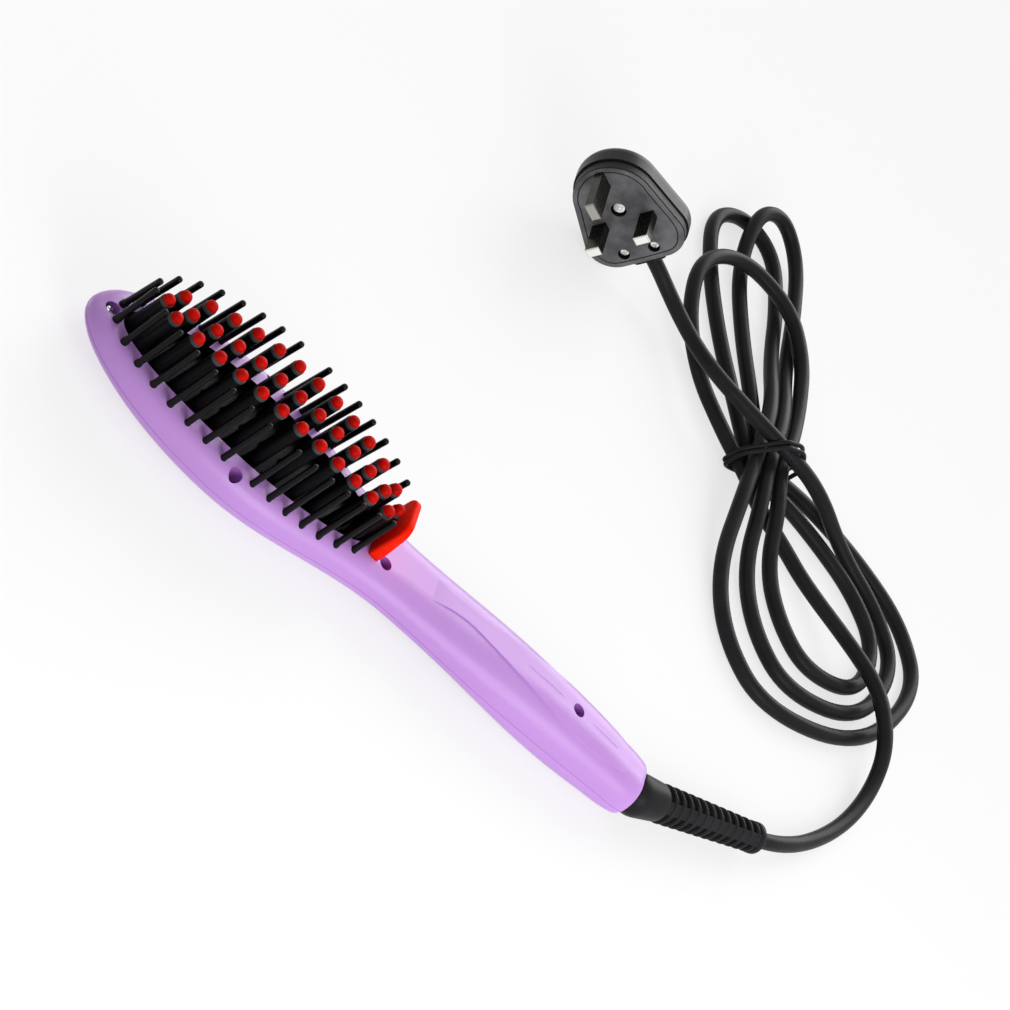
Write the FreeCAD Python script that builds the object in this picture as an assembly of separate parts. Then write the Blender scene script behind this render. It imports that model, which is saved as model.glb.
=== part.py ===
import FreeCAD, Part
import math
import os
from FreeCAD import Vector as V

# Hair straightening brush lying on its back. Millimetres, +Z up, +X from the tip to the handle's end.
# Places along the body are given as distances from the tip.

# Body
BODY_LENGTH = 286.0
WALL = 2.0
PARTING_HEIGHT = 11.0
SEAM_STEP = 0.25
HEAD_CENTRE = 75.0
HEAD_HALF_WIDTH = 31.5
NOSE_FLAT = 0.25
NOSE_LENGTH = 8.0
NOSE_START = 0.35
NECK_AT = 160.0
NECK_HALF_WIDTH = 16.6
GRIP_AT = 205.0
GRIP_HALF_WIDTH = 17.2
END_HALF_WIDTH = 12.6
END_ROUND = 2.5
END_SHRINK = 1.5
END_WALL = 3.0

# Front face and back, heights above the table
FACE_HEIGHT = 20.5
TIP_FACE_DROP = 4.4
NECK_FACE_AT = 140.0
NECK_FACE_HEIGHT = 19.8
GRIP_FACE_AT = 232.0
GRIP_FACE_HEIGHT = 23.8
END_FACE_HEIGHT = 21.3
HEAD_BACK_HEIGHT = -0.4
TIP_BACK_HEIGHT = 8.0
NECK_BACK_AT = 182.0
NECK_BACK_HEIGHT = 4.0
GRIP_BACK_AT = 245.0
GRIP_BACK_HEIGHT = -0.3
END_BACK_HEIGHT = 3.0
HEAD_SHOULDER = 7.5
GRIP_SHOULDER = 13.0
SHOULDER_FULLNESS = 0.8
BACK_FLAT_SHARE = 0.25
BACK_FULLNESS = 0.72

# Raised panel on the handle's front
PANEL_RAISE = 0.55
PANEL_SINK = 0.3
PANEL_START = 163.0
PANEL_END = 283.0
PANEL_FADE = 15.0
PANEL_EDGE = ((160, 9.5), (169, 6.0), (177, 3.7), (186, 2.6), (196, 3.8), (206, 5.6), (225, 8.2),
              (238, 9.7), (249, 10.2), (259, 9.6), (268, 8.2), (280, 5.0))

# Heating plate and teeth
WINDOW_HALF_LENGTH = 63.0
WINDOW_HALF_WIDTH = 18.2
COLLAR_WALL = 1.6
PLATE_LAP = 1.3
PLATE_TOP = 15.0
PLATE_THICKNESS = 3.0
TOOTH_PITCH = 9.8
SIDE_ROW_TEETH = 12
CENTRE_ROW_TEETH = 13
TOOTH_ROW_OFFSET = 12.3
TOOTH_ROW_REACH = 60.0
TOOTH_ROW_POWER = 2.53
TOOTH_FOOT_RADIUS = 3.0
TOOTH_TOP_RADIUS = 2.7
TOOTH_SPIGOT_RADIUS = 1.6
TOOTH_TOP_EDGE = 0.4
TOOTH_CROWN_HEIGHT = 44.4
TOOTH_CROWN_DROP = 0.00233
CAP_RADIUS = 2.45
CAP_HEIGHT = 2.3
CAP_PEG_RADIUS = 1.2
CAP_PEG_LENGTH = 4.0

# Bristles
BRISTLE_RADIUS = 1.3
BRISTLE_HOLE_GAP = 0.1
BRISTLE_ROW_HALF_LENGTH = 66.5
BRISTLE_ROW_HALF_WIDTH = 25.0
BRISTLE_GAP_HALF = 7.3
TIP_SIDE_BRISTLES = 8
TIP_SIDE_PITCH = 9.1
NECK_SIDE_BRISTLES = 7
NECK_SIDE_PITCH = 8.5
BRISTLE_TIP_HEIGHT = 45.4
BRISTLE_TIP_DROP = 0.00145
BRISTLE_LEAN = 2.0
STRIP_THICKNESS = 1.6
STRIP_HALF_WIDTH = 3.0
STRIP_BREAK = 5.5

# End guard
GUARD_AT = 137.4
GUARD_HALF_WIDTH = 9.8
GUARD_FOOT_THICKNESS = 5.0
GUARD_TOP_THICKNESS = 3.0
GUARD_TOP = 40.4
GUARD_CORNER = 5.0
GUARD_EDGE = 1.0
TONGUE_HALF_WIDTH = 3.6
TONGUE_THICKNESS = 2.4
TONGUE_DEPTH = 4.2
FIT_GAP = 0.1

# Shell screws
SCREW_PLACES = ((6.8, 0.0), (75.0, 26.4), (75.0, -26.4), (146.0, 7.0), (146.0, -7.0), (244.6, 0.0))
BOSS_RADIUS = 4.0
WELL_RADIUS = 2.8
SCREW_HEAD_RADIUS = 2.4
SCREW_HEAD_HEIGHT = 1.8
SCREW_RADIUS = 1.25
SCREW_HOLE_RADIUS = 1.6
SCREW_SEAT = 2.6
SCREW_BITE = 2.6

# Heater
HEATER_LENGTH = 100.0
HEATER_WIDTH = 14.0
HEATER_THICKNESS = 2.2
CLAMP_LENGTH = 122.0
CLAMP_WIDTH = 16.0
CLAMP_THICKNESS = 0.8
CLAMP_SCREW_AT = 57.0
CLAMP_BOSS_RADIUS = 3.0
CLAMP_SCREW_HEAD = 2.2
CLAMP_SCREW_RADIUS = 1.2
POST_AT = 40.0
POST_OFFSET = 11.0
POST_RADIUS = 2.4
SENSOR_RADIUS = 1.5
SENSOR_LENGTH = 6.0
FUSE_LINK_RADIUS = 1.8
FUSE_LINK_LENGTH = 10.0
SENSOR_OFFSET = 12.0
SENSOR_AT = 15.0

# Control panel on the back of the neck
CONTROL_START = 151.0
CONTROL_END = 210.0
CONTROL_HALF_WIDTH = 9.6
CONTROL_HEIGHT = 4.6
CONTROL_WALL = 2.0
LENS_AT = 165.0
LENS_LENGTH = 26.0
LENS_WIDTH = 13.0
LENS_THICKNESS = 1.3
LENS_LEDGE = 2.0
BUTTON_PLACES = (("power_button", 185.0), ("plus_button", 194.5), ("minus_button", 204.0))
BUTTON_RADIUS = 3.4
BUTTON_GAP = 0.3
BUTTON_FLANGE_RADIUS = 4.4
BUTTON_FLANGE = 0.8
BUTTON_PROUD = 0.4
BUTTON_STEM_RADIUS = 1.5
BUTTON_TRAVEL = 0.5
BUTTON_CLEARANCE = 0.15

# Control board
BOARD_START = 153.0
BOARD_END = 216.0
BOARD_HALF_WIDTH = 10.4
BOARD_HEIGHT = 13.0
BOARD_THICKNESS = 1.6
BOARD_POST_RADIUS = 2.0
BOARD_POST_INSET = 3.4
BOARD_POST_OFFSET = 8.6
BOARD_SCREW_RADIUS = 0.9
BOARD_SCREW_HEAD = 1.6
BOARD_SCREW_BITE = 5.0
SWITCH_SIDE = 6.0
SWITCH_HEIGHT = 3.4
PLUNGER_RADIUS = 1.6
PLUNGER_HEIGHT = 0.6
DISPLAY_LENGTH = 24.0
DISPLAY_WIDTH = 12.0
DISPLAY_GAP = 0.2
TRIAC_SIZE = (10.0, 8.0, 4.2)
TRIAC_AT = 190.0
CAPACITOR_RADIUS = 2.6
CAPACITOR_LENGTH = 12.0
CAPACITOR_AT = 203.0
LEAD_RADIUS = 0.9
MAINS_LEAD_RADIUS = 1.1

# Cord
CORD_DIAMETER = 6.8
CORD_RADIUS = CORD_DIAMETER / 2
CORD_AXIS_HEIGHT = 12.2
SHEATH_END = 252.0
SADDLE_AT = 260.0
SADDLE_LENGTH = 6.0
SADDLE_HALF_WIDTH = 9.0
SADDLE_SCREW_OFFSET = 6.4
SADDLE_GAP = 0.4
BRIDGE_HEIGHT = 5.4

# Strain relief
BOOT_TURN = 27.0
BOOT_DIP = 3.0
BOOT_LENGTH = 74.0
BOOT_FLANGE_RADIUS = 6.8
BOOT_NECK_RADIUS = 5.0
BOOT_BALL_RADIUS = 8.2
BOOT_COLLAR_END = 14.0
BOOT_COLLAR_RADIUS = 6.5
BOOT_BODY_RADIUS = 5.3
BOOT_RIB_RADIUS = 6.4
BOOT_RIBS = 12
BOOT_TIP_LENGTH = 3.2
BOOT_GAP = 0.3

# Hank of cord: lobes as heading in degrees, length, half width and bluntness of the tip
HANK_WAIST = (171.0, 220.0)
UPPER_LOBES = ((112.0, 104.0, 31.0, 2.2), (106.0, 139.0, 22.0, 2.6), (99.0, 146.0, 18.5, 2.6))
LOWER_LOBES = ((-38.0, 102.0, 31.5, 2.0), (-45.0, 124.0, 61.5, 2.0), (-42.0, 113.0, 45.5, 2.0))
LOBE_STEPS = (24, 38, 52, 68, 90, 112, 128, 142, 156)
LAYER_STEP = CORD_DIAMETER + 0.9
RISING_STEP = CORD_DIAMETER + 1.8
RISING_SLOTS = (-1.5, -0.5, 0.8, 0.1)
FALLING_SLOTS = (1, -1, 0)
WAIST_LIFT = 2.7
TOP_LAYER = 2.08
EXIT_LAYER = 1.8
RISING_HEADING = 155.0
FALLING_HEADING = 258.0
EXIT_HEADING = 168.0
ENTRY_RUN = 20.0
EXIT_RUN = 27.0
TIE_RADIUS = 1.0
TIE_HALF_WIDTH = 26.0
TIE_HEIGHT = 27.0
TIE_CORNER = 6.0
TIE_HEADING = 120.0
TIE_STEP = 2.6
# Layer of each point of a lobe, counted from the table
UPPER_LAYERS = ((0, 0, 0.5, 1.1, 1.1, 1.1, 1.05, 1, 1), (0, 0, 0, 0, 0, 0, 0, 0.2, 1),
                (0, 0, 0.03, 1, 1, 0.3, 0, 0.2, 1))
LOWER_LAYERS = ((1, 0.2, 0, 0, 0, 0, 0, 0, 0), (1, 0.2, 0, 0, 0, 0, 0, 0, 0),
                (1, 0.2, 0, 0, 0, 0, 0, 0.4, 1.7))

# Free stretches of the cord
LEAD_RUN = 12.0
LEAD_ROUTE = ((243, 58, 4.6), (261, 84, 3.6), (270, 110, 6.2), (267, 131, 12.8), (256, 154, 12.8),
              (238, 171, 7.0), (213, 186, 3.8))
TAIL_RUN = 14.0
TAIL_ROUTE = ((116, 243.5, 10.5), (103, 255.5, 8.0))
TAIL_MOUTH = 9.0

# Plug, standing on its side
PLUG_FACE = (56.7, 253.2)
PLUG_TILT = 18.0
PLUG_BASE = 5.0
PLUG_DEPTH = 17.0
PLUG_BACK_ROUND = 6.5
PLUG_WALL = 2.2
PLUG_COVER_SCALE = 1.03
PLUG_HOLLOW_SCALE = 0.86
PLUG_FOOT = 22.0
PLUG_FOOT_HALF = 10.0
PLUG_CORNER = ((19.4, -17.7), (22.3, -8.0))
PLUG_SHOULDER = (17.4, 14.5)
PLUG_CROWN = 28.2
PLUG_COVER_GAP = 0.3
PIN_SPACING = 22.2
PIN_WIDTH = 6.35
PIN_THICKNESS = 3.97
PIN_LENGTH = 17.7
EARTH_WIDTH = 7.95
EARTH_LENGTH = 22.7
PIN_ROOT = 6.6
SLEEVE_LENGTH = 9.5
SLEEVE_WALL = 0.5
PIN_TIP = 0.8
PLUG_SCREW_AT = 6.2
PLUG_SCREW_HEAD = 3.0
PLUG_SCREW_RADIUS = 1.5
PLUG_SCREW_LENGTH = 11.0
CORD_EXIT_OFFSET = -0.6
GRIP_SCREW_OFFSET = 7.0
GRIP_SCREW_AT = -15.8
GRIP_SCREW_HEAD = 2.2
GRIP_SCREW_RADIUS = 1.3
GRIP_BAR = (19.0, 4.0, 2.4)
GRIP_INNER_END = -11.5
COLLAR_HALF_WIDTH = 7.8
COLLAR_DEPTH = 9.0
COLLAR_LENGTH = 4.0
COLLAR_ROUND = 2.0
FUSE_CLIP_GAP = 0.6
FUSE_RADIUS = 3.15
FUSE_LENGTH = 25.4


def along(distance):
    return distance - BODY_LENGTH / 2


def ease(u):
    u = min(max(u, 0.0), 1.0)
    return u * u * (3 - 2 * u)


def between(distance, start, end, low, high):
    return low + (high - low) * ease((distance - start) / (end - start))


def nose(distance):
    if distance >= NOSE_LENGTH:
        return 1.0
    return NOSE_START + (1 - NOSE_START) * math.sqrt(1 - (1 - distance / NOSE_LENGTH) ** 2)


def end_shrink(distance):
    into = distance - (BODY_LENGTH - END_ROUND)
    if into <= 0:
        return 0.0
    return END_SHRINK * (1 - math.sqrt(max(1 - (into / END_ROUND) ** 2, 0.0)))


def half_width(distance):
    if distance < HEAD_CENTRE:
        width = HEAD_HALF_WIDTH * math.sqrt(1 - ((HEAD_CENTRE - distance) / (HEAD_CENTRE + NOSE_FLAT)) ** 2)
    elif distance < NECK_AT:
        width = between(distance, HEAD_CENTRE, NECK_AT, HEAD_HALF_WIDTH, NECK_HALF_WIDTH)
    elif distance < GRIP_AT:
        width = between(distance, NECK_AT, GRIP_AT, NECK_HALF_WIDTH, GRIP_HALF_WIDTH)
    else:
        share = (distance - GRIP_AT) / (BODY_LENGTH - GRIP_AT)
        width = GRIP_HALF_WIDTH - (GRIP_HALF_WIDTH - END_HALF_WIDTH) * share ** 1.6
    return width - end_shrink(distance)


def face_height(distance):
    if distance < HEAD_CENTRE:
        height = FACE_HEIGHT - TIP_FACE_DROP * ((HEAD_CENTRE - distance) / HEAD_CENTRE) ** 2
    elif distance < NECK_FACE_AT:
        height = between(distance, HEAD_CENTRE, NECK_FACE_AT, FACE_HEIGHT, NECK_FACE_HEIGHT)
    elif distance < GRIP_FACE_AT:
        height = between(distance, NECK_FACE_AT, GRIP_FACE_AT, NECK_FACE_HEIGHT, GRIP_FACE_HEIGHT)
    else:
        share = (distance - GRIP_FACE_AT) / (BODY_LENGTH - GRIP_FACE_AT)
        height = GRIP_FACE_HEIGHT - (GRIP_FACE_HEIGHT - END_FACE_HEIGHT) * share ** 2
    return PARTING_HEIGHT + (height - PARTING_HEIGHT) * nose(distance) - end_shrink(distance)


def back_height(distance):
    if distance < HEAD_CENTRE:
        share = (HEAD_CENTRE - distance) / HEAD_CENTRE
        height = HEAD_BACK_HEIGHT + (TIP_BACK_HEIGHT - HEAD_BACK_HEIGHT) * share ** 2
    elif distance < NECK_BACK_AT:
        height = between(distance, HEAD_CENTRE, NECK_BACK_AT, HEAD_BACK_HEIGHT, NECK_BACK_HEIGHT)
    elif distance < GRIP_BACK_AT:
        height = between(distance, NECK_BACK_AT, GRIP_BACK_AT, NECK_BACK_HEIGHT, GRIP_BACK_HEIGHT)
    else:
        share = (distance - GRIP_BACK_AT) / (BODY_LENGTH - GRIP_BACK_AT)
        height = GRIP_BACK_HEIGHT + (END_BACK_HEIGHT - GRIP_BACK_HEIGHT) * share ** 2
    return PARTING_HEIGHT - (PARTING_HEIGHT - height) * nose(distance) + end_shrink(distance)


def shoulder(distance):
    return between(distance, HEAD_CENTRE, GRIP_AT, HEAD_SHOULDER, GRIP_SHOULDER)


def quarter(x, side, width, parting, flat, height, fullness):
    poles = [V(x, side * width, parting), V(x, side * width, height), V(x, side * flat, height)]
    curve = Part.BSplineCurve()
    curve.buildFromPolesMultsKnots(poles, [3, 3], [0, 1], False, 2, [1, fullness, 1])
    return curve.toShape()


def section(distance, width, flat, height, fullness, foot):
    """A D-shaped outline from the parting plane to the face, with its foot on the plane or past it."""
    x = along(distance)
    right = quarter(x, 1, width, PARTING_HEIGHT, flat, height, fullness)
    left = quarter(x, -1, width, PARTING_HEIGHT, flat, height, fullness)
    top = Part.makeLine(V(x, flat, height), V(x, -flat, height))
    corners = [V(x, -width, PARTING_HEIGHT)]
    if foot != PARTING_HEIGHT:
        corners = corners + [V(x, -width, foot), V(x, width, foot)]
    corners.append(V(x, width, PARTING_HEIGHT))
    sides = [Part.makeLine(a, b) for a, b in zip(corners, corners[1:])]
    return Part.Wire([right, top, left] + sides)


def front_section(distance, inset, foot):
    width = half_width(distance) - inset
    flat = width - min(shoulder(distance), 0.8 * width)
    return section(distance, width, flat, face_height(distance) - inset, SHOULDER_FULLNESS, foot)


def back_section(distance, inset, foot):
    width = half_width(distance) - SEAM_STEP - inset
    return section(distance, width, BACK_FLAT_SHARE * width, back_height(distance) + inset,
                   BACK_FULLNESS, foot)


def stations(start, end):
    """Distances from the tip, close together where the nose and the end round off."""
    head = [HEAD_CENTRE * (1 - math.cos(math.pi / 2 * i / 11)) for i in range(11)]
    last = BODY_LENGTH - END_ROUND
    rest = [HEAD_CENTRE + (last - HEAD_CENTRE) * i / 16 for i in range(17)]
    tip = [BODY_LENGTH - 0.35 * END_ROUND, BODY_LENGTH - 0.08 * END_ROUND, BODY_LENGTH]
    inside = [d for d in head + rest + tip if start + 0.4 < d < end - 0.15]
    return [start] + inside + [end]


def loft(make, inset, foot, start, end):
    return Part.makeLoft([make(d, inset, foot) for d in stations(start, end)], True, False)


def box(x0, x1, y0, y1, z0, z1):
    return Part.makeBox(x1 - x0, y1 - y0, z1 - z0, V(x0, y0, z0))


def post(distance, y, radius, z0, z1):
    return Part.makeCylinder(radius, z1 - z0, V(along(distance), y, z0))


def oval(half_length, half_width_, z0, z1):
    ring = Part.Wire(Part.Ellipse(V(along(HEAD_CENTRE), 0, z0), half_length, half_width_).toShape())
    return Part.Face(ring).extrude(V(0, 0, z1 - z0))


def turned(profile, place, axis):
    """A solid of revolution from (radius, height) points, its own axis first along +Z."""
    points = [V(r, 0, z) for r, z in profile]
    face = Part.Face(Part.makePolygon(points + points[:1]))
    solid = face.revolve(V(0, 0, 0), V(0, 0, 1), 360)
    solid.Placement = FreeCAD.Placement(place, FreeCAD.Rotation(V(0, 0, 1), axis))
    return solid


def joined(shapes):
    return shapes[0].fuse(shapes[1:]).removeSplitter()


def save(node, shape):
    solids = shape.Solids
    if not shape.isValid() or not solids:
        raise ValueError(node + " is not a valid solid")
    body = solids[0] if len(solids) == 1 else Part.makeCompound(solids)
    body.exportStep("parts/" + node + ".step")
    b = body.optimalBoundingBox()
    print(node, len(solids), "solids", round(body.Volume / 1000, 3), "cm3  x", round(b.XMin, 1),
          round(b.XMax, 1),
          "y", round(b.YMin, 1), round(b.YMax, 1), "z", round(b.ZMin, 2), round(b.ZMax, 2))


# Route of a free tube: straight runs joined by tangent arcs

def rounded_route(points):
    edges = []
    start = points[0]
    radii = []
    for before, corner, after in zip(points, points[1:], points[2:]):
        a = (before - corner)
        b = (after - corner)
        reach = 0.45 * min(a.Length, b.Length)
        a.normalize()
        b.normalize()
        turn = math.pi - a.getAngle(b)
        radius = reach / math.tan(turn / 2)
        radii.append(round(radius, 1))
        first = corner + a * reach
        last = corner + b * reach
        half = (a + b).normalize()
        centre = corner + half * math.hypot(radius, reach)
        edges.append(Part.LineSegment(start, first).toShape())
        edges.append(Part.Arc(first, centre - half * radius, last).toShape())
        start = last
    edges.append(Part.LineSegment(start, points[-1]).toShape())
    return Part.Wire(edges), radii


def tube(wire, radius):
    first = wire.OrderedEdges[0]
    start = first.valueAt(first.FirstParameter)
    heading = first.tangentAt(first.FirstParameter)
    ring = Part.Wire(Part.Circle(start, heading, radius).toShape())
    return wire.makePipeShell([ring], True, False)


def free_tube(name, points, radius):
    wire, radii = rounded_route(points)
    solid = tube(wire, radius)
    print(name, "radii", radii, "length", round(wire.Length, 1), "volume share",
          round(solid.Volume / (math.pi * radius ** 2 * wire.Length), 4))
    return solid


# Front shell

os.makedirs("parts", exist_ok=True)

face_plane = FACE_HEIGHT + 1
parting = PARTING_HEIGHT
tip_x = along(0)
end_x = along(BODY_LENGTH)
plate_x = along(HEAD_CENTRE)

front_outer = loft(front_section, 0.0, parting, 0.0, BODY_LENGTH)
front_inner = loft(front_section, WALL, parting - 1, WALL + 1, BODY_LENGTH - END_WALL)
back_outer = loft(back_section, 0.0, parting, 0.0, BODY_LENGTH)
back_inner = loft(back_section, WALL, parting + 1, WALL + 1, BODY_LENGTH - END_WALL)
below = box(tip_x - 1, end_x + 1, -40, 40, -5, 0)
back_outer = back_outer.cut(below)


def panel_section(distance, inset, foot):
    rise = min(ease((distance - PANEL_START) / PANEL_FADE), ease((PANEL_END - distance) / PANEL_FADE))
    return front_section(distance, PANEL_SINK - (PANEL_RAISE + PANEL_SINK) * rise, foot)


edge_points = [V(along(d), y, parting) for d, y in PANEL_EDGE]
far_edge = Part.BSplineCurve()
far_edge.interpolate(edge_points)
near_edge = Part.BSplineCurve()
near_edge.interpolate([V(p.x, -p.y, p.z) for p in edge_points])
panel_ends = [Part.makeLine(V(p.x, -p.y, p.z), p) for p in (edge_points[0], edge_points[-1])]
panel_outline = Part.Wire(Part.__sortEdges__([far_edge.toShape(), near_edge.toShape()] + panel_ends))
panel_prism = Part.Face(panel_outline).extrude(V(0, 0, 40))
panel_steps = [PANEL_START + (PANEL_END - PANEL_START) * i / 16 for i in range(17)]
panel = Part.makeLoft([panel_section(d, 0, parting) for d in panel_steps], True, False)
panel = panel.common(panel_prism)
front_form = front_outer.fuse(panel)

collar = oval(WINDOW_HALF_LENGTH + COLLAR_WALL, WINDOW_HALF_WIDTH + COLLAR_WALL, PLATE_TOP, face_plane)
window = oval(WINDOW_HALF_LENGTH, WINDOW_HALF_WIDTH, PLATE_TOP - 1, face_plane + 1)
front_bosses = [post(d, y, BOSS_RADIUS, parting, 40) for d, y in SCREW_PLACES]
inside_parts = joined([collar] + front_bosses).common(front_outer)
front_shell = front_form.cut(front_inner).fuse(inside_parts)

wells = [post(d, y, WELL_RADIUS, parting + SCREW_SEAT, 40) for d, y in SCREW_PLACES]
screw_holes = [post(d, y, SCREW_HOLE_RADIUS, parting - 1, parting + SCREW_SEAT + 1)
               for d, y in SCREW_PLACES]

# Bristles: two rows along an oval, spaced evenly along it, leaning in a little


def oval_places(count, pitch, side):
    """Places (x from the plate's centre, y) that follow the oval from the gap in mid row to one end."""
    angle = math.acos(side * BRISTLE_GAP_HALF / BRISTLE_ROW_HALF_LENGTH)
    step = 0.0005
    places = []
    travelled = 0.0
    while len(places) < count:
        if travelled >= pitch * len(places):
            places.append((BRISTLE_ROW_HALF_LENGTH * math.cos(angle),
                           BRISTLE_ROW_HALF_WIDTH * math.sin(angle)))
        rate = math.hypot(BRISTLE_ROW_HALF_LENGTH * math.sin(angle),
                          BRISTLE_ROW_HALF_WIDTH * math.cos(angle))
        travelled = travelled + rate * step
        angle = angle - side * step
    return places


bristle_row = oval_places(TIP_SIDE_BRISTLES, TIP_SIDE_PITCH, -1)
bristle_row = bristle_row + oval_places(NECK_SIDE_BRISTLES, NECK_SIDE_PITCH, 1)


def bristle(s, y, radius, extra):
    root = V(plate_x + s, y, face_height(HEAD_CENTRE + s) - WALL - STRIP_THICKNESS - extra)
    tip = V(plate_x + s, y - math.copysign(BRISTLE_LEAN, y),
            BRISTLE_TIP_HEIGHT - BRISTLE_TIP_DROP * s * s)
    axis = tip - root
    length = axis.Length
    rod = Part.makeCylinder(radius, length - radius, root, axis)
    return rod.fuse(Part.makeSphere(radius, root + axis * ((length - radius) / length))).removeSplitter()


near_bristles = [bristle(s, -y, BRISTLE_RADIUS, 0) for s, y in bristle_row]
far_bristles = [bristle(s, y, BRISTLE_RADIUS, 0) for s, y in bristle_row]
hole_radius = BRISTLE_RADIUS + BRISTLE_HOLE_GAP
bristle_holes = [bristle(s, side * y, hole_radius, 1) for s, y in bristle_row for side in (1, -1)]

strip_top = loft(front_section, WALL + FIT_GAP, parting, WALL + 2, BODY_LENGTH - END_WALL)
strip_under = loft(front_section, WALL + STRIP_THICKNESS, parting - 1, WALL + 3, BODY_LENGTH - END_WALL)
strip_ring = oval(BRISTLE_ROW_HALF_LENGTH + STRIP_HALF_WIDTH, BRISTLE_ROW_HALF_WIDTH + STRIP_HALF_WIDTH,
                  parting, 30)
ring_hole = oval(max(BRISTLE_ROW_HALF_LENGTH - STRIP_HALF_WIDTH, WINDOW_HALF_LENGTH + COLLAR_WALL + 0.4),
                 max(BRISTLE_ROW_HALF_WIDTH - STRIP_HALF_WIDTH, WINDOW_HALF_WIDTH + COLLAR_WALL + 0.4),
                 0, 40)
row_end = bristle_row[TIP_SIDE_BRISTLES - 1]
neck_end = bristle_row[-1]
strip_cuts = [ring_hole, strip_under,
              box(plate_x - STRIP_BREAK, plate_x + STRIP_BREAK, -40, 40, 0, 40),
              box(plate_x - 100, plate_x + 100, -row_end[1] + 2.2, row_end[1] - 2.2, 0, 40),
              box(plate_x + neck_end[0] + 2.4, plate_x + 100, -40, 40, 0, 40)]
strip_cuts = strip_cuts + [post(d, y, BOSS_RADIUS + FIT_GAP, 0, 40) for d, y in SCREW_PLACES]
bristle_strips = strip_top.common(strip_ring).cut(strip_cuts).cut(bristle_holes)

# End guard: a wall across the head, on a tongue through the front shell

guard_x = along(GUARD_AT)
low = face_height(GUARD_AT) - 4
rise = GUARD_TOP - GUARD_CORNER
bend = GUARD_CORNER * (1 - math.sqrt(0.5))
arc_far = Part.Arc(V(guard_x, GUARD_HALF_WIDTH, rise),
                   V(guard_x, GUARD_HALF_WIDTH - bend, GUARD_TOP - bend),
                   V(guard_x, GUARD_HALF_WIDTH - GUARD_CORNER, GUARD_TOP)).toShape()
arc_near = Part.Arc(V(guard_x, -GUARD_HALF_WIDTH + GUARD_CORNER, GUARD_TOP),
                    V(guard_x, -GUARD_HALF_WIDTH + bend, GUARD_TOP - bend),
                    V(guard_x, -GUARD_HALF_WIDTH, rise)).toShape()
guard_lines = [Part.makeLine(V(guard_x, GUARD_HALF_WIDTH, low), V(guard_x, GUARD_HALF_WIDTH, rise)),
               Part.makeLine(V(guard_x, GUARD_HALF_WIDTH - GUARD_CORNER, GUARD_TOP),
                             V(guard_x, -GUARD_HALF_WIDTH + GUARD_CORNER, GUARD_TOP)),
               Part.makeLine(V(guard_x, -GUARD_HALF_WIDTH, rise), V(guard_x, -GUARD_HALF_WIDTH, low)),
               Part.makeLine(V(guard_x, -GUARD_HALF_WIDTH, low), V(guard_x, GUARD_HALF_WIDTH, low))]
guard_outline = Part.Wire([guard_lines[0], arc_far, guard_lines[1], arc_near, guard_lines[2],
                           guard_lines[3]])
guard_wall = Part.Face(guard_outline).extrude(V(GUARD_FOOT_THICKNESS, 0, 0))
thin = GUARD_FOOT_THICKNESS - GUARD_TOP_THICKNESS
guard_back = guard_x + GUARD_FOOT_THICKNESS
slope = Part.Face(Part.makePolygon([V(guard_back, -40, low + 8), V(guard_back + 1, -40, low + 8),
                                    V(guard_back + 1, -40, GUARD_TOP + 1),
                                    V(guard_back - thin, -40, GUARD_TOP + 1),
                                    V(guard_back, -40, low + 8)]))
guard_wall = guard_wall.cut(slope.extrude(V(0, 80, 0)))
guard_rim = [e for e in guard_wall.Edges if e.BoundBox.ZMax > low + 6 and e.BoundBox.XLength < 2.2]
guard_wall = guard_wall.makeFillet(GUARD_EDGE, guard_rim)
guard_wall = guard_wall.cut([front_outer, window])
tongue_x = guard_x + 0.5 * (GUARD_FOOT_THICKNESS - TONGUE_THICKNESS)
tongue = box(tongue_x, tongue_x + TONGUE_THICKNESS, -TONGUE_HALF_WIDTH, TONGUE_HALF_WIDTH,
             face_height(GUARD_AT) - TONGUE_DEPTH, face_height(GUARD_AT) + 2)
end_guard = joined([guard_wall, tongue])
tongue_slot = box(tongue_x - FIT_GAP, tongue_x + TONGUE_THICKNESS + FIT_GAP, -TONGUE_HALF_WIDTH - FIT_GAP,
                  TONGUE_HALF_WIDTH + FIT_GAP, parting + 0.5, 40)

cord_axis = V(end_x, 0, CORD_AXIS_HEIGHT)
end_hole = Part.makeCylinder(BOOT_NECK_RADIUS + FIT_GAP, 20, cord_axis - V(10, 0, 0), V(1, 0, 0))

front_shell = front_shell.cut([window, tongue_slot, end_hole] + wells + screw_holes + bristle_holes)
save("front_shell", front_shell)
save("near_bristles", Part.makeCompound(near_bristles))
save("far_bristles", Part.makeCompound(far_bristles))
save("bristle_strips", bristle_strips)
save("end_guard", end_guard)

# Rear shell with its posts, control panel and cord saddle

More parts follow.
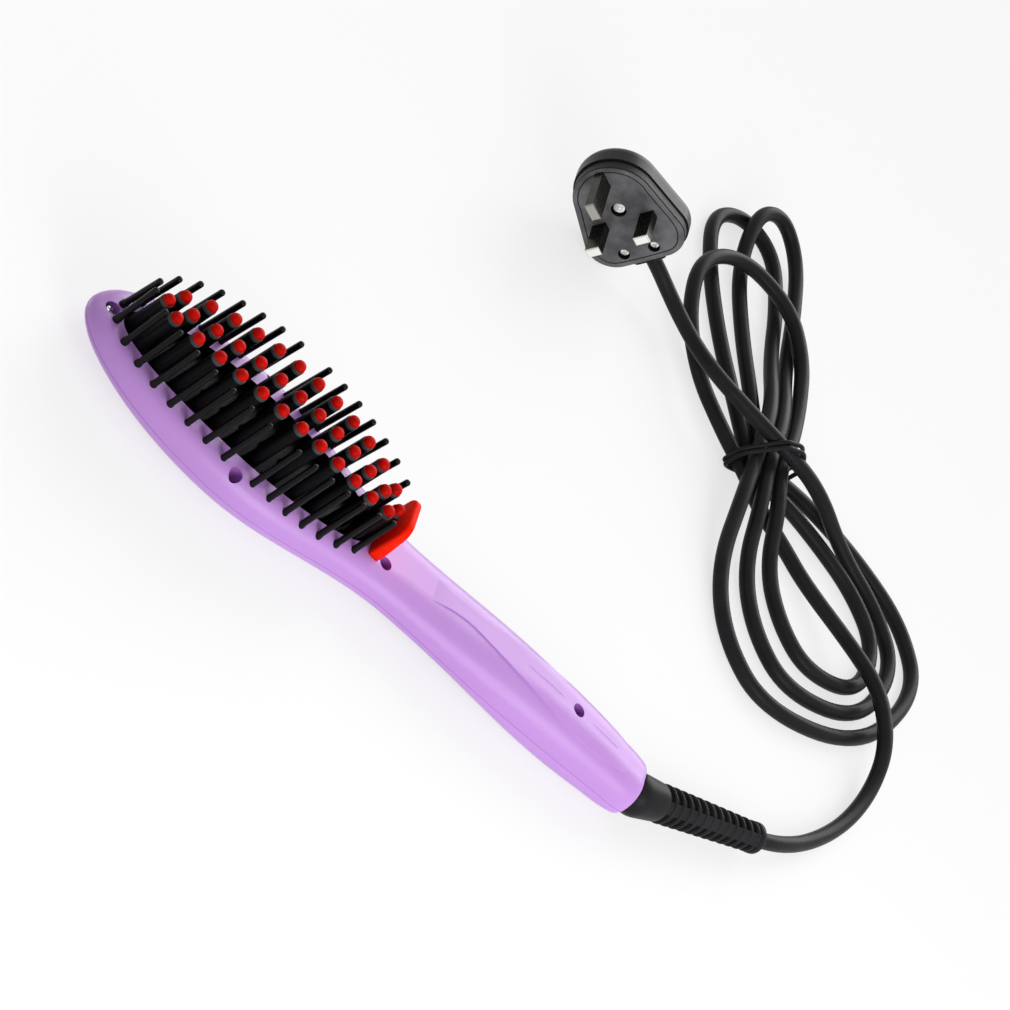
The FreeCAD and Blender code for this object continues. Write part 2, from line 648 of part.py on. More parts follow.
plate_under = PLATE_TOP - PLATE_THICKNESS
inner_floor = CONTROL_HEIGHT + CONTROL_WALL
back_bosses = [post(d, y, BOSS_RADIUS, 0, parting) for d, y in SCREW_PLACES]
pad = box(along(CONTROL_START) - 2, along(CONTROL_END) + 2, -CONTROL_HALF_WIDTH - 2,
          CONTROL_HALF_WIDTH + 2, 0, inner_floor)
saddle = box(along(SADDLE_AT) - SADDLE_LENGTH / 2, along(SADDLE_AT) + SADDLE_LENGTH / 2,
             -SADDLE_HALF_WIDTH, SADDLE_HALF_WIDTH, 0, parting)
back_inside = joined(back_bosses + [pad, saddle]).common(back_outer)
plate_posts = [post(HEAD_CENTRE + i * POST_AT, j * POST_OFFSET, POST_RADIUS, 1.0, plate_under)
               for i in (1, -1) for j in (1, -1)]
board_post_places = [(d, y) for d in (BOARD_START + BOARD_POST_INSET, BOARD_END - BOARD_POST_INSET)
                     for y in (BOARD_POST_OFFSET, -BOARD_POST_OFFSET)]
board_posts = [post(d, y, BOARD_POST_RADIUS, CONTROL_HEIGHT + 0.4, BOARD_HEIGHT)
               for d, y in board_post_places]
rear_shell = back_outer.cut(back_inner).fuse([back_inside] + plate_posts + board_posts)

recess = box(along(CONTROL_START), along(CONTROL_END), -CONTROL_HALF_WIDTH, CONTROL_HALF_WIDTH, -1,
             CONTROL_HEIGHT)
recess = recess.makeFillet(3.0, [e for e in recess.Edges if e.BoundBox.ZLength > 1])
lens_x = along(LENS_AT)


def lens_block(length, width, z0, z1):
    block = box(lens_x - length / 2, lens_x + length / 2, -width / 2, width / 2, z0, z1)
    return block.makeFillet(1.5,
                            [e for e in block.Edges if e.BoundBox.ZLength > 0.1 and e.BoundBox.XLength < 0.1
                                  and e.BoundBox.YLength < 0.1])


lens_top = CONTROL_HEIGHT + LENS_THICKNESS
pocket = lens_block(LENS_LENGTH + 2 * FIT_GAP, LENS_WIDTH + 2 * FIT_GAP, CONTROL_HEIGHT - 1, lens_top)
view_hole = lens_block(LENS_LENGTH - 2 * LENS_LEDGE, LENS_WIDTH - 2 * LENS_LEDGE, CONTROL_HEIGHT,
                       inner_floor + 1)
display_lens = lens_block(LENS_LENGTH, LENS_WIDTH, CONTROL_HEIGHT + 0.1, lens_top)
button_holes = [post(d, 0, BUTTON_RADIUS + BUTTON_GAP, 0, inner_floor + 1) for n, d in BUTTON_PLACES]
pilot_holes = [post(d, y, SCREW_RADIUS, parting - SCREW_BITE - 0.4, parting + 1) for d, y in SCREW_PLACES]
board_pilots = [post(d, y, BOARD_SCREW_RADIUS, BOARD_HEIGHT - BOARD_SCREW_BITE - 0.4, BOARD_HEIGHT + 1)
                for d, y in board_post_places]
cord_way = Part.makeCylinder(CORD_RADIUS, 60, V(along(SHEATH_END) - 5, 0, CORD_AXIS_HEIGHT), V(1, 0, 0))
saddle_places = [(SADDLE_AT, SADDLE_SCREW_OFFSET), (SADDLE_AT, -SADDLE_SCREW_OFFSET)]
saddle_pilots = [post(d, y, SCREW_RADIUS, parting - 5, parting + 1) for d, y in saddle_places]
rear_shell = rear_shell.cut([recess, pocket, view_hole, end_hole, cord_way] + button_holes + pilot_holes
                            + board_pilots + saddle_pilots)
save("rear_shell", rear_shell)
save("display_lens", display_lens)

shell_screw = [(0, -SCREW_BITE - SCREW_SEAT), (SCREW_RADIUS, -SCREW_BITE - SCREW_SEAT), (SCREW_RADIUS, 0),
               (SCREW_HEAD_RADIUS, 0), (SCREW_HEAD_RADIUS, 0.6 * SCREW_HEAD_HEIGHT),
               (0.6 * SCREW_HEAD_RADIUS, SCREW_HEAD_HEIGHT), (0, SCREW_HEAD_HEIGHT)]


def cross_slot(place, axis, size):
    """A cross recess for a driver, cut into the head of a screw."""
    bars = [Part.makeBox(size, 0.28 * size, 3, V(-size / 2, -0.14 * size, 0)),
            Part.makeBox(0.28 * size, size, 3, V(-0.14 * size, -size / 2, 0))]
    cross = joined(bars)
    cross.Placement = FreeCAD.Placement(place, FreeCAD.Rotation(V(0, 0, 1), axis))
    return cross


def driven(profile, place, axis, recess_at, size):
    screw = turned(profile, place, axis)
    return screw.cut(cross_slot(place + axis * recess_at, axis, size))


up = V(0, 0, 1)
shell_screws = [driven(shell_screw, V(along(d), y, parting + SCREW_SEAT), up, 0.4 * SCREW_HEAD_HEIGHT,
                       2.6)
                for d, y in SCREW_PLACES]
save("shell_screws", Part.makeCompound(shell_screws))

# Heating plate, teeth and caps

side_row = [(i - (SIDE_ROW_TEETH - 1) / 2) * TOOTH_PITCH for i in range(SIDE_ROW_TEETH)]
centre_row = [(i - (CENTRE_ROW_TEETH - 1) / 2) * TOOTH_PITCH for i in range(CENTRE_ROW_TEETH)]
row_offset = [TOOTH_ROW_OFFSET * math.sqrt(1 - abs(s / TOOTH_ROW_REACH) ** TOOTH_ROW_POWER) for s in side_row]
tooth_places = [(s, 0.0) for s in centre_row]
tooth_places = tooth_places + [(s, y) for s, y in zip(side_row, row_offset)]
tooth_places = tooth_places + [(s, -y) for s, y in zip(side_row, row_offset)]

clamp_under = plate_under - HEATER_THICKNESS
plate = oval(WINDOW_HALF_LENGTH + PLATE_LAP, WINDOW_HALF_WIDTH + PLATE_LAP, plate_under, PLATE_TOP)
plate_bosses = [post(HEAD_CENTRE + i * CLAMP_SCREW_AT, 0, CLAMP_BOSS_RADIUS, clamp_under,
                     plate_under) for i in (1, -1)]
plate_tools = [post(HEAD_CENTRE + s, y, TOOTH_SPIGOT_RADIUS, plate_under - 1, PLATE_TOP + 1)
               for s, y in tooth_places
               if abs(abs(s) - CLAMP_SCREW_AT) > 5 or y != 0]
plate_tools = plate_tools + [post(HEAD_CENTRE + i * CLAMP_SCREW_AT, 0, CLAMP_SCREW_RADIUS,
                                  clamp_under - 1,
                                  plate_under + 1) for i in (1, -1)]
plate_tools = plate_tools + [post(d, y, BOSS_RADIUS + FIT_GAP, 0, 40) for d, y in SCREW_PLACES]
heat_plate = joined([plate] + plate_bosses).cut(plate_tools)
save("heat_plate", heat_plate)


def tooth(s, y):
    crown = TOOTH_CROWN_HEIGHT - TOOTH_CROWN_DROP * s * s - PLATE_TOP
    over_boss = abs(abs(s) - CLAMP_SCREW_AT) <= 5 and y == 0
    foot = 0.0 if over_boss else -PLATE_THICKNESS
    spigot = TOOTH_FOOT_RADIUS if over_boss else TOOTH_SPIGOT_RADIUS
    profile = [(0, foot), (spigot, foot), (spigot, 0), (TOOTH_FOOT_RADIUS, 0),
               (TOOTH_TOP_RADIUS, crown - TOOTH_TOP_EDGE), (TOOTH_TOP_RADIUS - TOOTH_TOP_EDGE, crown),
               (CAP_PEG_RADIUS, crown), (CAP_PEG_RADIUS, crown - CAP_PEG_LENGTH),
               (0, crown - CAP_PEG_LENGTH)]
    if over_boss:
        profile = profile[:1] + profile[3:]
    return turned(profile, V(plate_x + s, y, PLATE_TOP), up)


def cap(s, y):
    crown = TOOTH_CROWN_HEIGHT - TOOTH_CROWN_DROP * s * s
    top = V(plate_x + s, y, crown)
    dome_radius = (CAP_RADIUS ** 2 + CAP_HEIGHT ** 2) / (2 * CAP_HEIGHT)
    dome = Part.makeSphere(dome_radius, top + V(0, 0, CAP_HEIGHT - dome_radius))
    dome = dome.common(Part.makeCylinder(CAP_RADIUS, CAP_HEIGHT + 1, top))
    peg = Part.makeCylinder(CAP_PEG_RADIUS, CAP_PEG_LENGTH + 0.5, top - V(0, 0, CAP_PEG_LENGTH))
    return joined([dome, peg])


save("heating_teeth", Part.makeCompound([tooth(s, y) for s, y in tooth_places]))
save("tooth_caps", Part.makeCompound([cap(s, y) for s, y in tooth_places]))

# Heater under the plate

heater = box(plate_x - HEATER_LENGTH / 2, plate_x + HEATER_LENGTH / 2, -HEATER_WIDTH / 2,
             HEATER_WIDTH / 2,
             clamp_under, plate_under)
save("heater_element", heater)
strap = box(plate_x - CLAMP_LENGTH / 2, plate_x + CLAMP_LENGTH / 2, -CLAMP_WIDTH / 2, CLAMP_WIDTH / 2,
            clamp_under - CLAMP_THICKNESS, clamp_under)
strap = strap.makeFillet(5.0, [e for e in strap.Edges if e.BoundBox.ZLength > 0.1])
strap = strap.cut([post(HEAD_CENTRE + i * CLAMP_SCREW_AT, 0, CLAMP_SCREW_RADIUS + 0.2, 0,
                        12) for i in (1, -1)])
save("heater_clamp", strap)
clamp_bite = PLATE_THICKNESS - 2.0 + HEATER_THICKNESS + CLAMP_THICKNESS
clamp_screw = [(0, -clamp_bite), (CLAMP_SCREW_RADIUS, -clamp_bite), (CLAMP_SCREW_RADIUS, 0),
               (CLAMP_SCREW_HEAD, 0),
               (CLAMP_SCREW_HEAD, 0.8), (0.6 * CLAMP_SCREW_HEAD, 1.4), (0, 1.4)]
strap_under = clamp_under - CLAMP_THICKNESS
clamp_screws = [turned(clamp_screw, V(plate_x + i * CLAMP_SCREW_AT, 0, strap_under),
                       V(0, 0, -1)) for i in (1, -1)]
save("clamp_screws", Part.makeCompound(clamp_screws))
thermistor = Part.makeCylinder(SENSOR_RADIUS, SENSOR_LENGTH,
                               V(plate_x + SENSOR_AT, SENSOR_OFFSET, plate_under - SENSOR_RADIUS),
                               V(1, 0, 0))
save("thermistor", thermistor)
thermal_fuse = Part.makeCylinder(FUSE_LINK_RADIUS, FUSE_LINK_LENGTH,
                                 V(plate_x - SENSOR_AT, -SENSOR_OFFSET, plate_under - FUSE_LINK_RADIUS),
                                 V(1, 0, 0))
save("thermal_fuse", thermal_fuse)

# Control board and what it carries

board_top = BOARD_HEIGHT + BOARD_THICKNESS
board = box(along(BOARD_START), along(BOARD_END), -BOARD_HALF_WIDTH, BOARD_HALF_WIDTH, BOARD_HEIGHT,
            board_top)
board = board.cut([post(d, y, BOARD_SCREW_RADIUS + 0.1, 0, 30) for d, y in board_post_places])
save("control_board", board)
board_screw = [(0, -BOARD_THICKNESS - BOARD_SCREW_BITE),
               (BOARD_SCREW_RADIUS, -BOARD_THICKNESS - BOARD_SCREW_BITE),
               (BOARD_SCREW_RADIUS, 0), (BOARD_SCREW_HEAD, 0), (BOARD_SCREW_HEAD, 0.7), (0.5, 1.2),
               (0, 1.2)]
save("board_screws", Part.makeCompound([turned(board_screw, V(along(d), y, board_top), up)
                                        for d, y in board_post_places]))
display = box(lens_x - DISPLAY_LENGTH / 2, lens_x + DISPLAY_LENGTH / 2, -DISPLAY_WIDTH / 2,
              DISPLAY_WIDTH / 2,
              inner_floor + DISPLAY_GAP, BOARD_HEIGHT)
save("display_module", display)
switch_under = BOARD_HEIGHT - SWITCH_HEIGHT
switches = []
for name, d in BUTTON_PLACES:
    case = box(along(d) - SWITCH_SIDE / 2, along(d) + SWITCH_SIDE / 2, -SWITCH_SIDE / 2, SWITCH_SIDE / 2,
               switch_under, BOARD_HEIGHT)
    switches.append(joined([case, post(d, 0, PLUNGER_RADIUS, switch_under - PLUNGER_HEIGHT,
                                       switch_under)]))
save("tact_switches", Part.makeCompound(switches))
flange_under = inner_floor + BUTTON_GAP
stem_top = switch_under - PLUNGER_HEIGHT - BUTTON_TRAVEL - BUTTON_CLEARANCE
for name, d in BUTTON_PLACES:
    foot = CONTROL_HEIGHT - BUTTON_PROUD
    profile = [(0, foot), (BUTTON_RADIUS - 0.5, foot), (BUTTON_RADIUS, foot + 0.5),
               (BUTTON_RADIUS, flange_under),
               (BUTTON_FLANGE_RADIUS, flange_under), (BUTTON_FLANGE_RADIUS, flange_under + BUTTON_FLANGE),
               (BUTTON_STEM_RADIUS, flange_under + BUTTON_FLANGE), (BUTTON_STEM_RADIUS, stem_top),
               (0, stem_top)]
    save(name, turned(profile, V(along(d), 0, 0), up))
triac = box(along(TRIAC_AT) - TRIAC_SIZE[0] / 2, along(TRIAC_AT) + TRIAC_SIZE[0] / 2, -TRIAC_SIZE[1] / 2,
            TRIAC_SIZE[1] / 2, board_top, board_top + TRIAC_SIZE[2])
save("power_triac", triac)
save("supply_capacitor", Part.makeCylinder(CAPACITOR_RADIUS, CAPACITOR_LENGTH,
                                           V(along(CAPACITOR_AT), -CAPACITOR_LENGTH / 2,
                                             board_top + CAPACITOR_RADIUS),
                                           V(0, 1, 0)))

heater_leads = []
mains_leads = []
for side in (1, -1):
    low_run = clamp_under + 1.1
    on_board = board_top + LEAD_RADIUS
    route = [V(plate_x + HEATER_LENGTH / 2, 4.4 * side, low_run), V(along(131), 4.5 * side, low_run),
             V(along(137.5), 3.4 * side, low_run), V(along(143.5), 1.5 * side, low_run + 0.3),
             V(along(150), 1.4 * side, on_board + 0.4), V(along(158), 1.4 * side, on_board)]
    heater_leads.append(free_tube("heater lead", route, LEAD_RADIUS))
    on_board = board_top + MAINS_LEAD_RADIUS
    route = [V(along(SHEATH_END), 1.8 * side, CORD_AXIS_HEIGHT),
             V(along(249.6), 1.8 * side, CORD_AXIS_HEIGHT),
             V(along(247.6), 5.0 * side, CORD_AXIS_HEIGHT + 0.4), V(along(241), 7.2 * side, 13.6),
             V(along(229), 6.2 * side, on_board), V(along(219), 3.6 * side, on_board + 0.1),
             V(along(210), 3.0 * side, on_board)]
    mains_leads.append(free_tube("mains lead", route, MAINS_LEAD_RADIUS))
save("heater_leads", Part.makeCompound(heater_leads))
save("mains_leads", Part.makeCompound(mains_leads))

# Cord inside the handle and its clamp

boot_root = BODY_LENGTH - END_WALL - FIT_GAP
flange_in = boot_root - 2.4
inner_cord = Part.makeCylinder(CORD_RADIUS, flange_in - SHEATH_END,
                               V(along(SHEATH_END), 0, CORD_AXIS_HEIGHT), V(1, 0, 0))
save("inner_cord", inner_cord)
bridge_foot = parting + SADDLE_GAP
bridge_top = CORD_AXIS_HEIGHT + BRIDGE_HEIGHT
bridge = box(along(SADDLE_AT) - SADDLE_LENGTH / 2, along(SADDLE_AT) + SADDLE_LENGTH / 2,
             -SADDLE_HALF_WIDTH + 0.4,
             SADDLE_HALF_WIDTH - 0.4, bridge_foot, bridge_top)
bridge_rim = [e for e in bridge.Edges if e.BoundBox.XLength > 1 and e.BoundBox.ZMin > bridge_top - 0.1]
bridge = bridge.makeFillet(3.4, bridge_rim)
bridge_ledge = CORD_AXIS_HEIGHT + 1.6
ledges = [box(along(SADDLE_AT) - 5, along(SADDLE_AT) + 5, 4.3, 20, bridge_ledge, 40),
          box(along(SADDLE_AT) - 5, along(SADDLE_AT) + 5, -20, -4.3, bridge_ledge, 40)]
bridge = bridge.cut([cord_way] + ledges + [post(d, y, SCREW_HOLE_RADIUS, 0, 40)
                                           for d, y in saddle_places])
save("cord_clamp", bridge)
saddle_bite = bridge_ledge - parting + 4.6
saddle_screw = [(0, -saddle_bite), (SCREW_RADIUS, -saddle_bite), (SCREW_RADIUS, 0), (2.0, 0),
                (2.0, 1.0), (1.2, 1.6), (0, 1.6)]
save("cord_clamp_screws", Part.makeCompound([turned(saddle_screw, V(along(d), y, bridge_ledge), up)
                                             for d, y in saddle_places]))

# Strain relief: a flange inside the handle, a ball outside and a ribbed sleeve leaning to one side

turn = math.radians(BOOT_TURN)
dip = math.radians(BOOT_DIP)
boot_way = V(math.cos(turn) * math.cos(dip), math.sin(turn) * math.cos(dip), -math.sin(dip))
ball_centre = cord_axis + V(3.4, 0, 0)
profile = [(0, 0), (BOOT_BALL_RADIUS - 0.2, 0), (BOOT_BALL_RADIUS - 0.4, 3.0),
           (BOOT_COLLAR_RADIUS, BOOT_COLLAR_END)]
rib_pitch = (BOOT_LENGTH - BOOT_TIP_LENGTH - BOOT_COLLAR_END) / BOOT_RIBS
for i in range(BOOT_RIBS):
    start = BOOT_COLLAR_END + i * rib_pitch
    profile.append((BOOT_BODY_RADIUS, start + 0.12 * rib_pitch))
    profile.append((BOOT_BODY_RADIUS, start + 0.40 * rib_pitch))
    profile.append((BOOT_RIB_RADIUS, start + 0.52 * rib_pitch))
    profile.append((BOOT_RIB_RADIUS, start + 1.0 * rib_pitch))
profile.append((BOOT_BODY_RADIUS, BOOT_LENGTH - BOOT_TIP_LENGTH + 0.5))
profile.append((BOOT_RIB_RADIUS, BOOT_LENGTH - BOOT_TIP_LENGTH + 1.0))
profile.append((BOOT_RIB_RADIUS, BOOT_LENGTH - 0.5))
profile.append((BOOT_RIB_RADIUS - 0.5, BOOT_LENGTH))
profile.append((0, BOOT_LENGTH))
sleeve = turned(profile, ball_centre, boot_way)
ball = Part.makeSphere(BOOT_BALL_RADIUS, ball_centre)
outside = joined([ball, sleeve]).cut(box(end_x - 60, end_x + BOOT_GAP, -60, 60, -60, 60))
neck = Part.makeCylinder(BOOT_NECK_RADIUS, END_WALL + FIT_GAP + 3,
                         V(along(boot_root), 0, CORD_AXIS_HEIGHT), V(1, 0, 0))
flange = Part.makeCylinder(BOOT_FLANGE_RADIUS, 2.4, V(along(flange_in), 0, CORD_AXIS_HEIGHT), V(1, 0, 0))
save("strain_relief", joined([outside, neck, flange]))
boot_end = ball_centre + boot_way * BOOT_LENGTH

# Hank of cord


def flat_way(degrees):
    return V(math.cos(math.radians(degrees)), math.sin(math.radians(degrees)), 0)


def left_of(way):
    return V(-way.y, way.x, 0)


waist = V(HANK_WAIST[0], HANK_WAIST[1], 0)
rising = flat_way(RISING_HEADING)
falling = flat_way(FALLING_HEADING)
rising_slots = [left_of(rising) * (-RISING_STEP * k) for k in RISING_SLOTS]
falling_slots = [left_of(falling) * (LAYER_STEP * k) for k in FALLING_SLOTS]


def layer(k, lifted):
    return V(0, 0, CORD_RADIUS + WAIST_LIFT * lifted + LAYER_STEP * k)


def lobe(shape, start_side, slots, levels):
    """Points around one lobe, from the waist slot it leaves to the slot it comes back to."""
    heading, length, half, bluntness = shape
    way = flat_way(heading)
    across = left_of(way) * start_side
    points = []
    for degrees, level in zip(LOBE_STEPS, levels):
        angle = math.radians(degrees)
        s2 = math.sin(angle) ** 2
        slot = slots[0] if degrees < 90 else slots[1]
        side = 2.598 * half * math.cos(angle) * s2
        lifted = max(0.0, 1 - s2 / 0.35)
        reach = length * (1 - abs(math.cos(angle)) ** bluntness)
        points.append(waist + way * reach + across * side + slot * (1 - s2) + layer(level, lifted))
    return points


hank_start = waist + rising_slots[0] - rising * ENTRY_RUN + layer(0, 0)
hank_points = [hank_start, hank_start + rising * CORD_DIAMETER, waist + rising_slots[0] + layer(0, 1)]
for i in range(3):
    hank_points = hank_points + lobe(UPPER_LOBES[i], 1, (rising_slots[i], falling_slots[i]),
                                     UPPER_LAYERS[i])
    hank_points.append(waist + falling_slots[i] + layer(1, 1))
    hank_points = hank_points + lobe(LOWER_LOBES[i], -1, (falling_slots[i], rising_slots[i + 1]),
                                     LOWER_LAYERS[i])
    hank_points.append(waist + rising_slots[i + 1] + layer(TOP_LAYER if i == 2 else 0, 1))
hank_end = waist + rising_slots[3] + flat_way(EXIT_HEADING) * EXIT_RUN + layer(EXIT_LAYER, 1)
end_way = (hank_end - hank_points[-1]).normalize()
hank_points = hank_points + [hank_end - end_way * CORD_DIAMETER, hank_end]


def biarc(p0, t0, p1, t1):
    """Two arcs that join two points and keep their headings."""
    v = p1 - p0
    t = t0 + t1
    a = 2 * (1 - t0.dot(t1))
    b = v.dot(t)
    if a < 1e-7:
        d = v.dot(v) / (4 * v.dot(t0))
    else:
        d = (-b + math.sqrt(b * b + a * v.dot(v))) / a
    c0 = p0 + t0 * d
    c1 = p1 - t1 * d
    middle = (c0 + c1) * 0.5
    return [arc_or_line(p0, c0, middle), arc_or_line(middle, c1, p1)]


def arc_or_line(start, control, end):
    chord = end - start
    beta = (control - start).getAngle(chord)
    if beta < 1e-4:
        return Part.LineSegment(start, end).toShape()
    centre = (start + end) * 0.5
    return Part.Arc(start, centre + (control - centre) * (math.tan(beta / 2) / math.tan(beta)),
                    end).toShape()


def smooth_route(points, first_way, last_way):
    ways = [first_way]
    for before, here, after in zip(points, points[1:], points[2:]):
        a = here - before
        b = after - here
        blend = a * (b.Length / a.Length) + b * (a.Length / b.Length)
        if here.z < CORD_RADIUS + 0.4:
            blend.z = 0
        ways.append(blend.normalize())
    ways.append(last_way)
    ways[1] = first_way
    ways[-2] = last_way
    edges = []
    for i in range(len(points) - 1):
        edges = edges + biarc(points[i], ways[i], points[i + 1], ways[i + 1])
    return Part.Wire(edges)


def sample(wire, step):
    points = []
    for edge in wire.OrderedEdges:
        count = max(2, int(edge.Length / step))
        reach = edge.LastParameter - edge.FirstParameter
        params = [edge.FirstParameter + reach * i / count for i in range(count)]
        points = points + [edge.valueAt(p) for p in params]
    return points


def least_gap(first, second, skip):
    """Least distance between two sampled routes; near neighbours on one route are skipped."""
    least = (1e9, None)
    for i, p in enumerate(first):
        for j in range(i + skip if skip else 0, len(second)):
            q = second[j]
            if abs(p.x - q.x) < 12 and abs(p.y - q.y) < 12:
                distance = p.distanceToPoint(q)
                if distance < least[0]:
                    least = (distance, p)
    return least


hank_route = smooth_route(hank_points, rising, end_way)
hank = tube(hank_route, CORD_RADIUS)
hank_samples = sample(hank_route, 2.0)
gap, place = least_gap(hank_samples, hank_samples, 16)
print("hank length", round(hank_route.Length, 1), "least gap", round(gap - CORD_DIAMETER, 2), "at", place,
      "volume share", round(hank.Volume / (math.pi * CORD_RADIUS ** 2 * hank_route.Length), 4),
      "lowest", round(min(p.z for p in hank_samples) - CORD_RADIUS, 2))
radii = [e.Curve.Radius for e in hank_route.Edges if hasattr(e.Curve, "Radius")]
print("hank least radius", round(min(radii), 1))
save("cord_hank", hank)

# Tie: two turns of thin band around the waist

tie_way = flat_way(TIE_HEADING)
tie_across = left_of(tie_way)
ties = []
for i in (-1, 1):
    corner = TIE_CORNER
    low = TIE_RADIUS + 0.1
    mid = waist + tie_way * (i * TIE_STEP / 2)
    bend = corner * (1 - math.sqrt(0.5))
    w = TIE_HALF_WIDTH
    h = TIE_HEIGHT

    def at(y, z):
        return mid + tie_across * y + V(0, 0, z)

    pieces = [Part.LineSegment(at(0, low), at(w - corner, low)),
              Part.Arc(at(w - corner, low), at(w - bend, low + bend), at(w, low + corner)),
              Part.LineSegment(at(w, low + corner), at(w, h - corner)),
              Part.Arc(at(w, h - corner), at(w - bend, h - bend), at(w - corner, h)),
              Part.LineSegment(at(w - corner, h), at(corner - w, h)),
              Part.Arc(at(corner - w, h), at(bend - w, h - bend), at(-w, h - corner)),
              Part.LineSegment(at(-w, h - corner), at(-w, low + corner)),
              Part.Arc(at(-w, low + corner), at(bend - w, low + bend), at(corner - w, low)),
              Part.LineSegment(at(corner - w, low), at(0, low))]
    loop = Part.Wire([p.toShape() for p in pieces])
    ring = Part.Wire(Part.Circle(at(0, low), tie_across, TIE_RADIUS).toShape())
    ties.append(loop.makePipeShell([ring], True, False))
    tie_samples = sample(loop, 1.0)
    gap, place = least_gap(tie_samples, hank_samples, 0)
    print("tie gap to hank", round(gap - CORD_RADIUS - TIE_RADIUS, 2), place)
save("cord_tie", Part.makeCompound(ties))

# Lead from the strain relief to the hank

lead_points = [boot_end, boot_end + boot_way * LEAD_RUN] + [V(*p) for p in LEAD_ROUTE]
lead_points = lead_points + [hank_start - rising * 14, hank_start]
lead = free_tube("cord lead", lead_points, CORD_RADIUS)
lead_route = rounded_route(lead_points)[0]
gap, place = least_gap(sample(lead_route, 2.0)[:-4], hank_samples, 0)
print("lead gap to hank", round(gap - CORD_DIAMETER, 2), place)
save("cord_lead", lead)

# Plug, built with its pin face on the XY plane, pins up, earth pin towards +Y, then set on its side


def plug_outline(scale, z):
    def at(x, y):
        return V(x * scale, (y + 2) * scale - 2, z)

    foot = at(PLUG_FOOT_HALF, -PLUG_FOOT)
    low_corner = at(*PLUG_CORNER[0])
    low_side = at(*PLUG_CORNER[1])
    high_side = at(*PLUG_SHOULDER)

    def other(p):
        return V(-p.x, p.y, p.z)

    edges = [Part.LineSegment(other(foot), foot), Part.Arc(foot, low_corner, low_side),
             Part.LineSegment(low_side, high_side),
             Part.Arc(high_side, at(0, PLUG_CROWN), other(high_side)),
             Part.LineSegment(other(high_side), other(low_side)),
             Part.Arc(other(low_side), other(low_corner), other(foot))]
    return Part.Face(Part.Wire([e.toShape() for e in edges]))


def upright(x, y, radius, z0, z1):
    return Part.makeCylinder(radius, z1 - z0, V(x, y, z0))


def bar(x, y, width, thickness, z0, z1):
    return box(x - width / 2, x + width / 2, y - thickness / 2, y + thickness / 2, z0, z1)


tilt = math.radians(PLUG_TILT)
across_pins = V(math.sin(tilt), 0, math.cos(tilt))
to_earth = V(-math.cos(tilt), 0, math.sin(tilt))
pins_out = V(0, -1, 0)
plug_turn = FreeCAD.Rotation(across_pins, to_earth, pins_out, "ZXY")
cover_face = plug_outline(PLUG_COVER_SCALE, 0)
cover_face.Placement = FreeCAD.Placement(V(0, 0, 0), plug_turn)
plug_height = -cover_face.optimalBoundingBox().ZMin
plug_place = FreeCAD.Placement(V(PLUG_FACE[0], PLUG_FACE[1], plug_height), plug_turn)


def set_plug(shape):
    moved = shape.copy()
    moved.Placement = plug_place.multiply(moved.Placement)
    return moved


cord_depth = -(PLUG_BASE + PLUG_COVER_GAP + CORD_RADIUS)
core_width = PIN_WIDTH - 2 * SLEEVE_WALL
core_thickness = PIN_THICKNESS - 2 * SLEEVE_WALL
live_x = -PIN_SPACING / 2
neutral_x = PIN_SPACING / 2
well_depth = 3.2

base_tools = [bar(x, 0, core_width + 0.1, core_thickness + 0.1, -30, 30) for x in (live_x, neutral_x)]
base_tools.append(bar(0, PIN_SPACING, PIN_THICKNESS + 0.1, EARTH_WIDTH + 0.1, -30, 30))
base_tools.append(upright(0, PLUG_SCREW_AT, PLUG_SCREW_HEAD + 0.4, -well_depth, 5))
base_tools.append(upright(0, PLUG_SCREW_AT, PLUG_SCREW_RADIUS + 0.2, -30, 5))
for side in (1, -1):
    base_tools.append(upright(CORD_EXIT_OFFSET + side * GRIP_SCREW_OFFSET, GRIP_SCREW_AT,
                              GRIP_SCREW_HEAD + 0.4,
                              -well_depth, 5))
    base_tools.append(upright(CORD_EXIT_OFFSET + side * GRIP_SCREW_OFFSET, GRIP_SCREW_AT,
                              GRIP_SCREW_RADIUS + 0.2,
                              -30, 5))
base = plug_outline(1.0, -PLUG_BASE).extrude(V(0, 0, PLUG_BASE))
base = base.makeFillet(0.8, [e for e in base.Edges if e.BoundBox.ZMin > -0.1]).cut(base_tools)
save("plug_base", set_plug(base))

cover_top = -PLUG_BASE - PLUG_COVER_GAP
cover = plug_outline(PLUG_COVER_SCALE, -PLUG_DEPTH).extrude(V(0, 0, PLUG_DEPTH + cover_top))
cover = cover.makeFillet(PLUG_BACK_ROUND, [e for e in cover.Edges if e.BoundBox.ZMax < -PLUG_DEPTH + 0.1])
hollow = plug_outline(PLUG_HOLLOW_SCALE, -PLUG_DEPTH + PLUG_WALL).extrude(V(0, 0, PLUG_DEPTH))
boss = upright(0, PLUG_SCREW_AT, 3.2, -PLUG_DEPTH + 1, cover_top)
exit_collar = box(CORD_EXIT_OFFSET - COLLAR_HALF_WIDTH, CORD_EXIT_OFFSET + COLLAR_HALF_WIDTH,
                  -PLUG_FOOT - COLLAR_LENGTH, -PLUG_FOOT + 4, cover_top - COLLAR_DEPTH, cover_top)
collar_end = [e for e in exit_collar.Edges if e.BoundBox.YMax < -PLUG_FOOT - COLLAR_LENGTH + 0.1]
exit_collar = exit_collar.makeFillet(COLLAR_ROUND,
                                     [e for e in collar_end if e.BoundBox.ZMin < cover_top - 0.1])
cord_hole = Part.makeCylinder(CORD_RADIUS + 0.3, 30, V(CORD_EXIT_OFFSET, -PLUG_FOOT - 20, cord_depth),
                              V(0, 1, 0))
